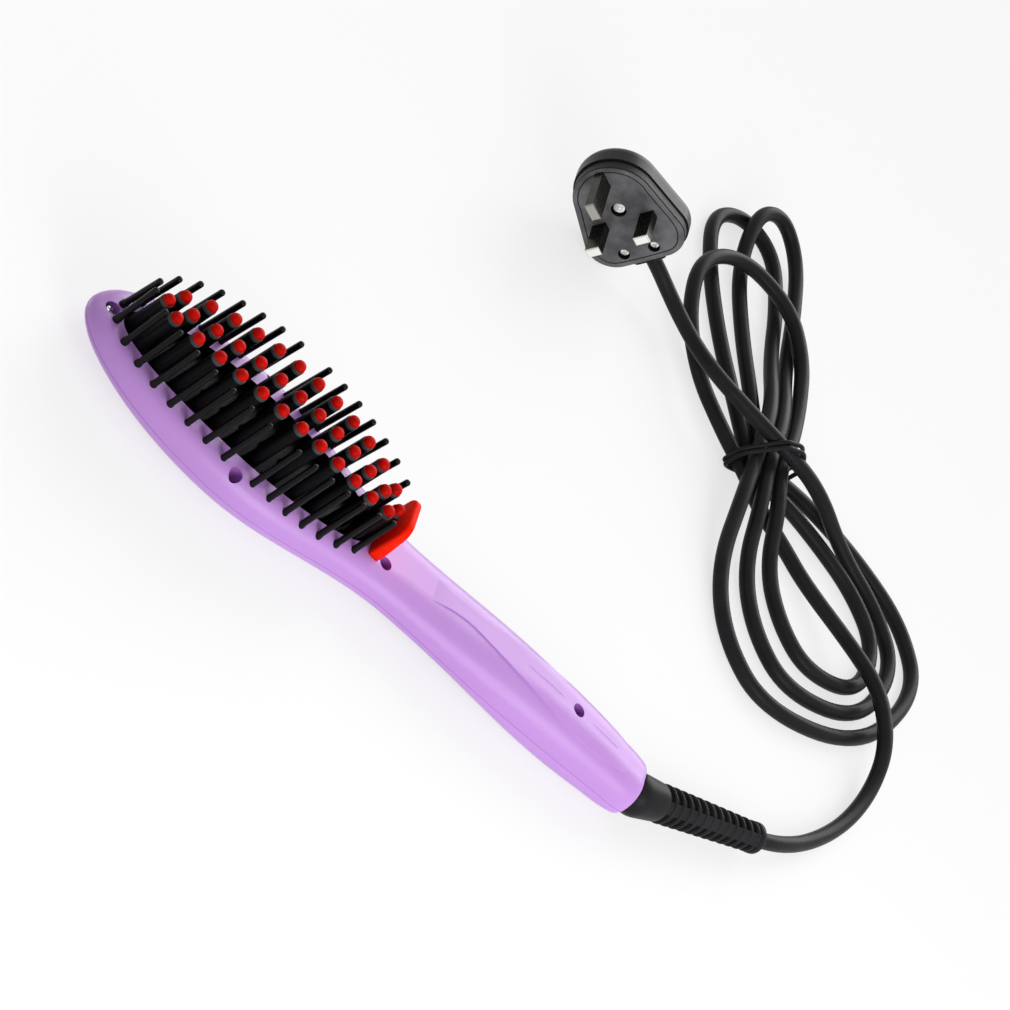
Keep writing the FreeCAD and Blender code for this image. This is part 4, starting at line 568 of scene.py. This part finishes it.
class HEATBRUSH_OT_shells(bpy.types.Operator):
    """Finish of the two shells, and the ridge on the grip"""
    bl_idname = "heatbrush.shells"
    bl_label = "Shells"

    def execute(self, context):
        colour = context.scene.brush_colours.shell
        # Injection moulded ABS from a polished tool: even colour, soft sheen, a dark line at the parting.
        # The walls of the screw wells are painted darker as painted shade, and the window's wall is painted
        # near black.
        # The rear shell's paler level is painted light bounced up from the floor.
        for node, level in SHELL_LEVELS_WITH_PAINTED_BOUNCE.items():
            full = tuple(min(level * c, 1.0) for c in colour[:3]) + (1.0,)
            shade = tuple(SHELL_SHADE * c for c in full[:3]) + (1.0,)
            plastic = surface(
                "moulded_purple_abs_" + node, full, shade, patch=38, grain=6, depth=0.004, rough=(0.3, 0.33),
                specular=0.3)
            tinted(plastic, "#5B2A78", at_parting)
            if node == "front_shell":
                # Painted shade on the walls of the screw wells, and the window's wall painted near black.
                tinted(plastic, "#A465BA", in_wells_painted_shade)
                tinted(plastic, "#0C0A0E", in_window)
            dress(plastic, node)
        # A low ridge runs along the top of the grip, broken at the screw.
        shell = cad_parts["front_shell"]
        rows = []
        for start, end in RIDGE_RUNS:
            row = []
            for i in range(RIDGE_STEPS + 1):
                x = start + (end - start) * i / RIDGE_STEPS
                hit, place, normal, face = shell.ray_cast(mm(x, 0, ABOVE_BRUSH), Vector((0, 0, -1)))
                if not hit:
                    raise RuntimeError("there is no shell under the ridge")
                sink = RIDGE_SINK if 0 < i < RIDGE_STEPS else RIDGE_END_SINK
                row.append(place / MM - Vector((0, 0, sink)))
            rows.append(row)
        wire("grip_ridge", rows, RIDGE_RADIUS * MM, shell.data.materials[0], "purple_shell")
        return {"FINISHED"}


def bristle_places(side):
    """Feet of one row, spaced evenly along a broken oval, which is walked in small steps, in radians."""
    long, wide = BRISTLE_OVAL
    step = 0.0005
    places = []
    for count, pitch, way in (TIP_SIDE, NECK_SIDE):
        angle = math.acos(way * BRISTLE_GAP_HALF / long)
        travelled = 0.0
        found = 0
        while found < count:
            if travelled >= pitch * found:
                places.append((long * math.cos(angle), side * wide * math.sin(angle)))
                found += 1
            travelled += math.hypot(long * math.sin(angle), wide * math.cos(angle)) * step
            angle -= way * step
    return places


class HEATBRUSH_OT_bristles(bpy.types.Operator):
    """Two rows of rods with round tips"""
    bl_idname = "heatbrush.bristles"
    bl_label = "Bristles"

    def execute(self, context):
        radius = context.scene.brush_sizes.bristle_radius
        colour = context.scene.brush_colours.bristles
        # Moulded black nylon: satin, with flow lines along the rod.
        nylon = surface(
            "moulded_black_nylon", colour, "#080809", patch=9, grain=0.9, depth=0.012, rough=(0.24, 0.32),
            stretch=(1, 1, 0.15), specular=0.14)
        height = (BRISTLE_TIP[0] - BRISTLE_ROOT) * MM
        shaft = rounded_tip(BRISTLE_SHAFT, radius / height, BRISTLE_TIP_STEPS)
        profile = list(BRISTLE_FOOT_PROFILE) + [(r / BRISTLE_FOOT, h) for r, h in shaft]
        tree = turned_tree("bristle_rods", profile, BRISTLE_FACETS)
        for side, name in ((-1, "near_bristles"), (1, "far_bristles")):
            places = []
            for along, y in bristle_places(side):
                root = mm(PLATE_X + along, y, BRISTLE_ROOT)
                top = BRISTLE_TIP[0] - BRISTLE_TIP[1] * along * along
                way = mm(PLATE_X + along, y - side * BRISTLE_LEAN, top) - root
                places.append((root, way, (1, 1, way.length / height)))
            mesh = grown(name, tree, places, BRISTLE_FOOT * radius, height, nylon)
            piece(name + "_rods", mesh, "black_nylon", name)
        dress(nylon, "bristle_strips", "cord_clamp", "pin_sleeves")
        return {"FINISHED"}


def tooth_places():
    """Place and crown height of every tooth."""
    places = []
    for count, side in TOOTH_ROWS:
        for i in range(count):
            along = (i - (count - 1) / 2) * TOOTH_PITCH
            bow = math.sqrt(1 - min(abs(along / TOOTH_ROW_REACH), 1) ** TOOTH_ROW_POWER)
            top = TOOTH_CROWN[0] - TOOTH_CROWN[1] * along * along
            places.append((PLATE_X + along, side * TOOTH_ROW_OFFSET * bow, top))
    return places


class HEATBRUSH_OT_teeth(bpy.types.Operator):
    """Heating plate, its teeth and their soft caps"""
    bl_idname = "heatbrush.teeth"
    bl_label = "Teeth and caps"

    def execute(self, context):
        sizes = context.scene.brush_sizes
        colours = context.scene.brush_colours
        crowns = tooth_places()
        up = (0, 0, 1)
        even = (1, 1, 1)
        # Ceramic coat sprayed on aluminium: black, fine grit, a dull sheen.
        coat = surface(
            "ceramic_coated_aluminium", "#040405", "#070708", patch=14, grain=0.5, depth=0.012,
            rough=(0.4, 0.5), specular=0.12)
        dress(coat, "heat_plate")
        height = (TOOTH_CROWN[0] - PLATE_TOP) * MM
        tree = turned_tree("heating_teeth", [(r / TOOTH_FOOT, h) for r, h in TOOTH_PROFILE], TOOTH_FACETS)
        places = [(mm(x, y, PLATE_TOP), up, (1, 1, (top - PLATE_TOP) * MM / height)) for x, y, top in crowns]
        mesh = grown("heating_teeth", tree, places, TOOTH_FOOT * sizes.tooth_radius, height, coat)
        piece("heating_tooth_posts", mesh, "coated_teeth", "heating_teeth")
        # Collar under each cap, matte: its grey is a painted highlight for light on the tooth's crown edge.
        collar_painted_highlight = surface(
            "moulded_grey_collar", "#4C4C4E", "#3E3E40", patch=3, grain=0.4, depth=0.01, rough=(0.5, 0.6),
            specular=0.2)
        tree = turned_tree("tooth_collars", COLLAR_PROFILE, TOOTH_FACETS)
        places = [(mm(x, y, top - COLLAR_HEIGHT), up, even) for x, y, top in crowns]
        radius = COLLAR_SHARE * sizes.tooth_radius
        mesh = grown("tooth_collars", tree, places, radius, COLLAR_HEIGHT * MM, collar_painted_highlight)
        piece("tooth_collars", mesh, "coated_teeth")
        # Moulded silicone: saturated, with a matte skin.
        silicone = surface(
            "moulded_red_silicone", colours.caps, "#B40A03", patch=2.5, grain=0.6, depth=0.012,
            rough=(0.4, 0.5), specular=0.06)
        profile = list(CAP_SKIRT) + rounded_tip((), CAP_DOME, CAP_DOME_STEPS)
        tree = turned_tree("tooth_caps", profile, TOOTH_FACETS)
        places = [(mm(*crown), up, even) for crown in crowns]
        mesh = grown("tooth_caps", tree, places, sizes.cap_radius, sizes.cap_height, silicone)
        piece("tooth_cap_domes", mesh, "red_silicone", "tooth_caps")
        return {"FINISHED"}


class HEATBRUSH_OT_guard(bpy.types.Operator):
    """Red wall between the teeth and the neck"""
    bl_idname = "heatbrush.guard"
    bl_label = "End guard"

    def execute(self, context):
        colour = context.scene.brush_colours.guard
        # Moulded nylon, self coloured: bright, satin, and light on its edges glows through its wall.
        glow = {"Subsurface Weight": 0.8, "Subsurface Radius": (1.0, 0.08, 0.04),
                "Subsurface Scale": 4.0 * MM}
        red = surface(
            "moulded_red_nylon", colour, "#F01E06", patch=12, grain=1.1, depth=0.008, rough=(0.4, 0.48),
            specular=0.04, **glow)
        dress(red, "end_guard")
        return {"FINISHED"}


class HEATBRUSH_OT_screws(bpy.types.Operator):
    """Finish of the screws, the clamp and the pins"""
    bl_idname = "heatbrush.screws"
    bl_label = "Screws and pins"

    def execute(self, context):
        # Zinc plated steel: grey, with the plating's fine streaks.
        zinc = surface(
            "zinc_plated_steel", "#B9BABD", "#9EA0A4", patch=3, grain=0.35, depth=0.006, rough=(0.22, 0.36),
            stretch=(1, 0.2, 1), Metallic=1.0)
        dress(zinc, "shell_screws", "clamp_screws", "board_screws", "cord_clamp_screws", "heater_clamp")
        # Bright nickel on the plug's screws.
        bright = surface(
            "nickel_plated_steel", "#F2F2F0", "#DCDCDA", patch=3, grain=0.35, depth=0.004, rough=(0.2, 0.3),
            Metallic=1.0)
        dress(bright, "plug_screw", "grip_screws")
        # Nickel plated brass, drawn: fine lines along the pin. Its dark colour is painted shade, and towards
        # its end it has a painted highlight, brighter on the line pins than on the earth pin.
        for node, painted_highlight in PIN_PAINTED_HIGHLIGHT.items():
            nickel = surface(
                "nickel_plated_brass_" + node, "#3E3D39", "#33322F", patch=4, grain=0.3, depth=0.004,
                rough=(0.2, 0.32), stretch=(1, 0.1, 1), Metallic=1.0)
            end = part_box(node)[0].y / MM
            tinted(nickel, painted_highlight, along_y(end + PIN_HIGHLIGHT_REACH[0], end + PIN_HIGHLIGHT_REACH[1]))
            dress(nickel, node)
        return {"FINISHED"}


class HEATBRUSH_OT_controls(bpy.types.Operator):
    """Display window and buttons on the back of the neck"""
    bl_idname = "heatbrush.controls"
    bl_label = "Controls"

    def execute(self, context):
        # Tinted acrylic, polished: near black and mirror smooth.
        acrylic = surface(
            "tinted_acrylic", "#0C0C12", "#101018", patch=20, grain=2.0, depth=0.001, rough=(0.05, 0.08),
            IOR=1.49)
        dress(acrylic, "display_lens")
        # Moulded ABS from an eroded tool: dark grey, matte, fine grit.
        grey = surface(
            "moulded_grey_abs", "#2B2B2F", "#242428", patch=6, grain=0.35, depth=0.012, rough=(0.4, 0.5),
            IOR=1.53)
        dress(grey, "power_button", "plus_button", "minus_button")
        # Pad printed ink: off white, matte.
        ink = surface("white_ink", "#E4E4E0", "#D8D8D4", patch=2, grain=0.3, depth=0.004, rough=(0.5, 0.6))
        bar = ((-MARK_HALF, 0), (0, 0), (MARK_HALF, 0))
        cross_bar = [(y, x) for x, y in bar]
        ring = arc(MARK_HALF, POWER_ARC)
        marks = {"power": (ring, POWER_BAR), "plus": (bar, cross_bar), "minus": (cross_bar,)}
        for body, lines in marks.items():
            low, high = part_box(body + "_button")
            middle = Vector(((low.x + high.x) / 2, 0, low.z)) / MM
            rows = [[middle + Vector((x, y, MARK_SINK)) for x, y in line] for line in lines]
            wire(body + "_mark", rows, MARK_LINE * MM, ink, "button_grey", body=body)
        return {"FINISHED"}


class HEATBRUSH_OT_inner(bpy.types.Operator):
    """Finish of the pieces inside the shells and the plug"""
    bl_idname = "heatbrush.inner"
    bl_label = "Inner pieces"

    def execute(self, context):
        # Sintered alumina: chalk white and matte.
        alumina = surface(
            "sintered_alumina", "#E8E4DA", "#DDD8CC", patch=8, grain=0.4, depth=0.01, rough=(0.55, 0.7))
        dress(alumina, "heater_element", "plug_fuse")
        # Glass cloth laminate under a green mask: satin over a woven ground.
        laminate = surface(
            "masked_laminate", "#1F6B3A", "#195B30", patch=5, grain=0.6, depth=0.01, rough=(0.3, 0.42))
        dress(laminate, "control_board")
        # Moulded epoxy: black, matte, fine grit.
        epoxy = surface(
            "moulded_epoxy", "#1C1C1E", "#222224", patch=3, grain=0.3, depth=0.01, rough=(0.5, 0.62))
        dress(epoxy, "thermistor", "thermal_fuse", "display_module", "tact_switches", "power_triac",
              "supply_capacitor")
        # Braided glass sleeve: brown, dull, with the braid's coarse weave.
        sleeve = surface(
            "braided_sleeve", "#7A4A2E", "#5F3923", patch=1.2, grain=0.5, depth=0.08, rough=(0.7, 0.85))
        dress(sleeve, "heater_leads", "mains_leads")
        return {"FINISHED"}


def sheath_material(context):
    """Extruded flexible PVC: near black, satin, with faint draw lines and dust."""
    found = bpy.data.materials.get("extruded_black_pvc")
    if found:
        return found
    colour = context.scene.brush_colours.cord
    return surface(
        "extruded_black_pvc", colour, "#252527", patch=16, grain=0.8, depth=0.012, rough=(0.34, 0.42),
        specular=0.07)


def boot_way():
    """The way that the strain relief points."""
    turn, dip = math.radians(BOOT_TURN), math.radians(BOOT_DIP)
    return Vector((math.cos(turn) * math.cos(dip), math.sin(turn) * math.cos(dip), -math.sin(dip)))


def relief_core(sheath):
    """Sleeve with a round foot, which is cut off flat where it meets the handle."""
    way = boot_way()
    heel = mm(*BALL_CENTRE) - way * (BOOT_BACK * MM)
    widest = max(r for r, t in BOOT_OUTLINE)
    whole = BOOT_LENGTH + BOOT_BACK
    profile = [(r / widest, (t + BOOT_BACK) / whole) for r, t in BOOT_OUTLINE]
    tree = turned_tree("strain_relief_core", profile, BOOT_FACETS)
    places = [(heel, way, (1, 1, 1))]
    mesh = grown("strain_relief_core", tree, places, widest * MM, whole * MM, sheath)
    form = bmesh.new()
    form.from_mesh(mesh)
    bmesh.ops.bisect_plane(form, geom=form.verts[:] + form.edges[:] + form.faces[:],
                           plane_co=mm(HANDLE_END, 0, 0), plane_no=(1, 0, 0), clear_inner=True)
    bmesh.ops.holes_fill(form, edges=form.edges)
    form.to_mesh(mesh)
    form.free()
    outward(mesh)
    piece("strain_relief_core", mesh, "cord_rubber", "strain_relief")


def relief_ribs(sheath, count):
    """Round ribs along the sleeve, which get smaller towards its tip."""
    way = boot_way()
    first, last = BOOT_RIB
    pitch = (BOOT_LENGTH - BOOT_TIP - BOOT_COLLAR) / count
    places = []
    for i in range(count):
        share = (first + (last - first) * i / (count - 1)) / first
        along = mm(*BALL_CENTRE) + way * ((BOOT_COLLAR + (i + RIB_START) * pitch) * MM)
        places.append((along, way, (share, share, 1)))
    profile = [*RIB_HALF, RIB_CREST] + [(r, 1 - h) for r, h in reversed(RIB_HALF)]
    tree = turned_tree("strain_relief_ribs", profile, BOOT_FACETS)
    mesh = grown("strain_relief_ribs", tree, places, first * MM, RIB_WIDTH * pitch * MM, sheath)
    piece("strain_relief_ribs", mesh, "cord_rubber")


def relief_spines(sheath):
    """A flat spine on each side, which joins the ribs."""
    way = boot_way()
    stations = ((BOOT_COLLAR - SPINE_OVERLAP, BOOT_RIB[0] - SPINE_SINK),
                (BOOT_LENGTH - BOOT_TIP + SPINE_OVERLAP, BOOT_RIB[1] - SPINE_SINK))
    form = bmesh.new()
    for outer in SPINE_WAYS:
        outer = (Vector(outer) - way * Vector(outer).dot(way)).normalized()
        side = way.cross(outer)
        ends = []
        for distance, radius in stations:
            foot, shoulder = SPINE_FOOT * radius, SPINE_SHOULDER * radius
            section = ((-SPINE_HALF, foot), (SPINE_HALF, foot), (SPINE_HALF, shoulder), (0, radius),
                       (-SPINE_HALF, shoulder))
            middle = Vector(BALL_CENTRE) + way * distance
            ends.append([form.verts.new((middle + outer * h + side * w) * MM) for w, h in section])
        first, last = ends
        form.faces.new(first)
        form.faces.new(last)
        for i in range(len(first)):
            form.faces.new((first[i - 1], first[i], last[i], last[i - 1]))
    mesh = bpy.data.meshes.new("strain_relief_spines")
    form.to_mesh(mesh)
    form.free()
    outward(mesh)
    mesh.materials.append(sheath)
    piece("strain_relief_spines", mesh, "cord_rubber")


class HEATBRUSH_OT_strain_relief(bpy.types.Operator):
    """Ribbed sleeve at the end of the handle"""
    bl_idname = "heatbrush.strain_relief"
    bl_label = "Strain relief"

    def execute(self, context):
        sheath = sheath_material(context)
        relief_core(sheath)
        relief_ribs(sheath, context.scene.brush_sizes.rib_count)
        relief_spines(sheath)
        return {"FINISHED"}


class HEATBRUSH_OT_plug(bpy.types.Operator):
    """Three-pin plug"""
    bl_idname = "heatbrush.plug"
    bl_label = "Plug"

    def execute(self, context):
        colour = context.scene.brush_colours.plug
        # Compression moulded black thermoset: the pin face is gritty and painted grey as painted light, with
        # black sides; the cover is smoother and black.
        face = surface(
            "eroded_thermoset", colour, "#4C4C4E", patch=10, grain=0.45, depth=0.02, rough=(0.4, 0.5),
            specular=0.2)
        black, grey = (PLUG_FACE[1] + depth for depth in PLUG_SIDE_DEPTHS)
        tinted(face, "#0C0C0E", along_y(black, grey))
        dress(face, "plug_base")
        cover = surface(
            "polished_thermoset", "#18181A", "#1F1F21", patch=10, grain=0.45, depth=0.01, rough=(0.3, 0.38),
            specular=0.18)
        dress(cover, "plug_cover", "plug_cord_grip")
        # A fine line runs inside the rim of the pin face.
        turn = math.radians(PLUG_TILT)
        across = Vector((math.sin(turn), 0, math.cos(turn)))
        to_earth = Vector((-math.cos(turn), 0, math.sin(turn)))
        rise, radius = RIM_CROWN
        crown = arc(radius, RIM_ARC, rise)
        outline = list(RIM_SIDE) + crown + [(-x, y) for x, y in reversed(RIM_SIDE)]
        start = Vector(PLUG_FACE) + Vector((0, RIM_SINK, 0))
        row = [start + across * x + to_earth * y for x, y in outline]
        wire("plug_face_line", [row], RIM_LINE * MM, cover, "plug_black", closed=True)
        return {"FINISHED"}


def flat_way(degrees):
    """A heading on the floor, as a way of length 1."""
    return Vector((math.cos(math.radians(degrees)), math.sin(math.radians(degrees)), 0))


def left_of(way):
    """The way on the floor at a right angle to the left."""
    return Vector((-way.y, way.x, 0))


def layer(level, lifted):
    """Height of the cord's middle on a layer of the hank, lifted in the waist."""
    return Vector((0, 0, CORD_DIAMETER / 2 + WAIST_LIFT * lifted + LAYER_STEP * level))


def lobe(shape, start_side, slots, levels):
    """Points around one loop of the hank, from where it leaves the waist to where it comes back."""
    heading, length, half, bluntness = shape
    way = flat_way(heading)
    across = left_of(way) * start_side
    points = []
    for degrees, level in zip(LOBE_STEPS, levels):
        angle = math.radians(degrees)
        away = math.sin(angle) ** 2
        slot = slots[0] if degrees < 90 else slots[1]
        side = LOBE_FULLNESS * half * math.cos(angle) * away
        lifted = max(0.0, 1 - away / WAIST_SHARE)
        reach = length * (1 - abs(math.cos(angle)) ** bluntness)
        points.append(HANK_WAIST + way * reach + across * side + slot * (1 - away) + layer(level, lifted))
    return points


def cord_route():
    """Control points of the whole cord: lead, hank and tail, in millimetres."""
    rising, falling = flat_way(RISING_HEADING), flat_way(FALLING_HEADING)
    up_slots = [left_of(rising) * (-RISING_STEP * k) for k in RISING_SLOTS]
    down_slots = [left_of(falling) * (FALLING_STEP * k) for k in FALLING_SLOTS]
    start = HANK_WAIST + up_slots[0] - rising * ENTRY_RUN + layer(0, 0)
    hank = [start, start + rising * CORD_DIAMETER, HANK_WAIST + up_slots[0] + layer(0, 1)]
    loops = len(UPPER_LOBES)
    for i in range(loops):
        hank += lobe(UPPER_LOBES[i], 1, (up_slots[i], down_slots[i]), UPPER_LAYERS[i])
        hank.append(HANK_WAIST + down_slots[i] + layer(1, 1))
        hank += lobe(LOWER_LOBES[i], -1, (down_slots[i], up_slots[i + 1]), LOWER_LAYERS[i])
        hank.append(HANK_WAIST + up_slots[i + 1] + layer(TOP_LAYER if i == loops - 1 else 0, 1))
    end = HANK_WAIST + up_slots[-1] + flat_way(EXIT_HEADING) * EXIT_RUN + layer(EXIT_LAYER, 1)
    leaving = (end - hank[-1]).normalized()
    hank += [end - leaving * CORD_DIAMETER, end]
    # The line runs inside its control points, so each loop's points stand a little further out.
    full = [hank[0]]
    for before, here, after in zip(hank, hank[1:], hank[2:]):
        point = here + OUTWARD * (2 * here - before - after)
        point.z = max(point.z, CORD_DIAMETER / 2)
        full.append(point)
    full.append(hank[-1])
    relief_end = Vector(BALL_CENTRE) + boot_way() * BOOT_LENGTH
    lead = [relief_end, relief_end + boot_way() * LEAD_RUN] + [Vector(p) for p in LEAD_ROUTE]
    lead.append(start - rising * LEAD_END)
    tail = [end + leaving * TAIL_RUN] + [Vector(p) for p in TAIL_ROUTE]
    return lead + full + tail


def tie_rows():
    """The two turns of the tie's thin wire around the waist, closest together on the left, in millimetres."""
    way = flat_way(TIE_HEADING)
    across = left_of(way)
    rows = []
    for side in (-1, 1):
        rows.append([HANK_WAIST + across * a + way * (side * (TIE_SPREAD - TIE_CLOSING * a))
                     + Vector((0, 0, z)) for a, z in TIE_TURN])
    return rows


def spline_length(curve):
    """Length of a curve's own line."""
    line = curve.copy()
    line.bevel_depth = 0
    mesh = plain_mesh(placed("line", line))
    ends = [[mesh.vertices[i].co for i in edge.vertices] for edge in mesh.edges]
    total = sum((a - b).length for a, b in ends)
    bpy.data.meshes.remove(mesh)
    return total


class HEATBRUSH_OT_cord(bpy.types.Operator):
    """Mains cord in its tied hank"""
    bl_idname = "heatbrush.cord"
    bl_label = "Cord and tie"

    def execute(self, context):
        sizes = context.scene.brush_sizes
        sheath = sheath_material(context)
        points = cord_route()
        curve = nurbs("mains_cord", [points], sizes.cord_diameter / 2, CORD_STEPS)
        curve.materials.append(sheath)
        cord = placed("mains_cord", curve)
        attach(cord, BODY)
        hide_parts("cord_lead", "cord_hank", "cord_tail")
        dress(sheath, "inner_cord")
        tie = wire("cord_tie_wire", tie_rows(), sizes.tie_radius, sheath, "cord_rubber", "cord_tie",
                   closed=True)

        carried = [tie]
        carried += [bpy.data.objects[name] for name in (
            "plug_face_line", "strain_relief_core", "strain_relief_ribs", "strain_relief_spines")]
        carried += [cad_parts[name] for name in (
            "plug_base", "plug_cover", "line_pins", "pin_sleeves", "earth_pin", "plug_screw", "grip_screws",
            "plug_cord_grip", "plug_fuse")]
        round(spline_length(curve), 3)
        return {"FINISHED"}


def seen_rays(tree):
    """1 for a ray that shows a surface to the eye: straight, in a mirror or through glass."""
    ray = add(tree, "ShaderNodeLightPath").outputs
    seen = ray["Is Camera Ray"]
    for kind in ("Is Glossy Ray", "Is Transmission Ray"):
        seen = add(tree, "ShaderNodeMath", {0: seen, 1: ray[kind]}, operation="MAXIMUM").outputs[0]
    return seen


def paper_floor(colour):
    """Matte white paper on a light table: it is seen partly by its own light, so shadows stay faint."""
    mesh = bpy.data.meshes.new("floor")
    corners = [(x * FLOOR_HALF, y * FLOOR_HALF, 0) for x, y in ((-1, -1), (1, -1), (1, 1), (-1, 1))]
    mesh.from_pydata(corners, [], [(0, 1, 2, 3)])
    floor = placed("floor", mesh)
    floor.location.z = -FLOOR_DROP
    paper = bpy.data.materials.new("lit_white_paper")
    tree = empty_tree(paper)
    share = add(tree, "ShaderNodeMapRange", {"Value": seen_rays(tree), "To Max": FLOOR_GLOW})
    matte = add(tree, "ShaderNodeBsdfDiffuse", {"Color": tuple(colour)})
    glow = add(tree, "ShaderNodeEmission", {"Color": WHITE, "Strength": 1.0})
    mixed = add(tree, "ShaderNodeMixShader", {
        0: share.outputs["Result"], 1: matte.outputs[0], 2: glow.outputs[0]})
    add(tree, "ShaderNodeOutputMaterial", {"Surface": mixed.outputs[0]})
    mesh.materials.append(paper)


def white_room():
    """A room that looks white. Its light is dimmer beyond the tip of the head than beyond the handle."""
    world = bpy.data.worlds.new("studio")
    tree = empty_tree(world)
    way = add(tree, "ShaderNodeTexCoord").outputs["Generated"]
    side = add(tree, "ShaderNodeSeparateXYZ", {"Vector": way}).outputs["X"]
    room = add(tree, "ShaderNodeMapRange", {
        "Value": side, "From Min": -1.0, "To Min": ROOM_LEVELS[0], "To Max": ROOM_LEVELS[1]})
    level = add(tree, "ShaderNodeMapRange", {
        "Value": seen_rays(tree), "To Min": room.outputs["Result"], "To Max": 1.0})
    white = add(tree, "ShaderNodeBackground", {"Color": WHITE, "Strength": level.outputs["Result"]})
    add(tree, "ShaderNodeOutputWorld", {"Surface": white.outputs[0]})
    return world


def studio_lamps():
    """A broad sun on the far side, and a soft disc near the handle, whose light falls off towards the tip."""
    key = bpy.data.lights.new("key", "SUN")
    key.energy = KEY_LEVEL
    key.angle = math.radians(KEY_WIDTH)
    fill = bpy.data.lights.new("fill", "AREA")
    fill.shape = "DISK"
    fill.energy = FILL_POWER
    fill.size = FILL_WIDTH
    for light, place, aim in ((key, KEY_PLACE, (0, 0, 0)), (fill, FILL_PLACE, FILL_AIM)):
        lamp = placed(light.name, light)
        lamp.location = place
        lamp.rotation_mode = "QUATERNION"
        lamp.rotation_quaternion = (Vector(place) - Vector(aim)).to_track_quat("Z", "Y")
        lamp.visible_camera = False


def photo_camera():
    """Camera at the photograph's viewing angle."""
    right, down = (Vector(way).normalized() for way in CAMERA_WAYS)
    down = (down - right * down.dot(right)).normalized()
    forward = right.cross(down)
    lens = bpy.data.cameras.new("camera")
    lens.lens = CAMERA_LENS
    lens.clip_start, lens.clip_end = CAMERA_CLIP
    camera = placed("camera", lens)
    turn = Matrix((right, -down, -forward)).transposed()
    camera.matrix_world = Matrix.Translation(mm(*CAMERA_PLACE)) @ turn.to_4x4()
    return camera


class HEATBRUSH_OT_stage(bpy.types.Operator):
    """Floor, light and camera"""
    bl_idname = "heatbrush.stage"
    bl_label = "Stage"

    def execute(self, context):
        scene = context.scene
        scene.view_settings.view_transform = "Standard"
        paper_floor(scene.brush_colours.floor)
        scene.world = white_room()
        studio_lamps()
        scene.camera = photo_camera()
        return {"FINISHED"}


class HEATBRUSH_PT_panel(bpy.types.Panel):
    """Sizes and colours of the brush, and the steps that dress it"""
    bl_idname = "HEATBRUSH_PT_panel"
    bl_label = "Hair straightening brush"
    bl_space_type = "VIEW_3D"
    bl_region_type = "UI"
    bl_category = "Brush"

    def draw(self, context):
        for group in (context.scene.brush_sizes, context.scene.brush_colours):
            box = self.layout.box()
            for name in group.__annotations__:
                box.prop(group, name)
        for step in STEPS:
            self.layout.operator(step.bl_idname)


STEPS = (
    HEATBRUSH_OT_shells, HEATBRUSH_OT_bristles, HEATBRUSH_OT_teeth, HEATBRUSH_OT_guard, HEATBRUSH_OT_screws,
    HEATBRUSH_OT_controls, HEATBRUSH_OT_inner, HEATBRUSH_OT_strain_relief, HEATBRUSH_OT_plug,
    HEATBRUSH_OT_cord, HEATBRUSH_OT_stage)
CLASSES = (BrushSizes, BrushColours) + STEPS + (HEATBRUSH_PT_panel,)


def register():
    for made in CLASSES:
        bpy.utils.register_class(made)
    bpy.types.Scene.brush_sizes = PointerProperty(type=BrushSizes)
    bpy.types.Scene.brush_colours = PointerProperty(type=BrushColours)


def unregister():
    del bpy.types.Scene.brush_colours
    del bpy.types.Scene.brush_sizes
    for made in reversed(CLASSES):
        bpy.utils.unregister_class(made)


def main():
    register()
    for step in STEPS:
        group, name = step.bl_idname.split(".")
        getattr(getattr(bpy.ops, group), name)()


if __name__ == "__main__":
    main()
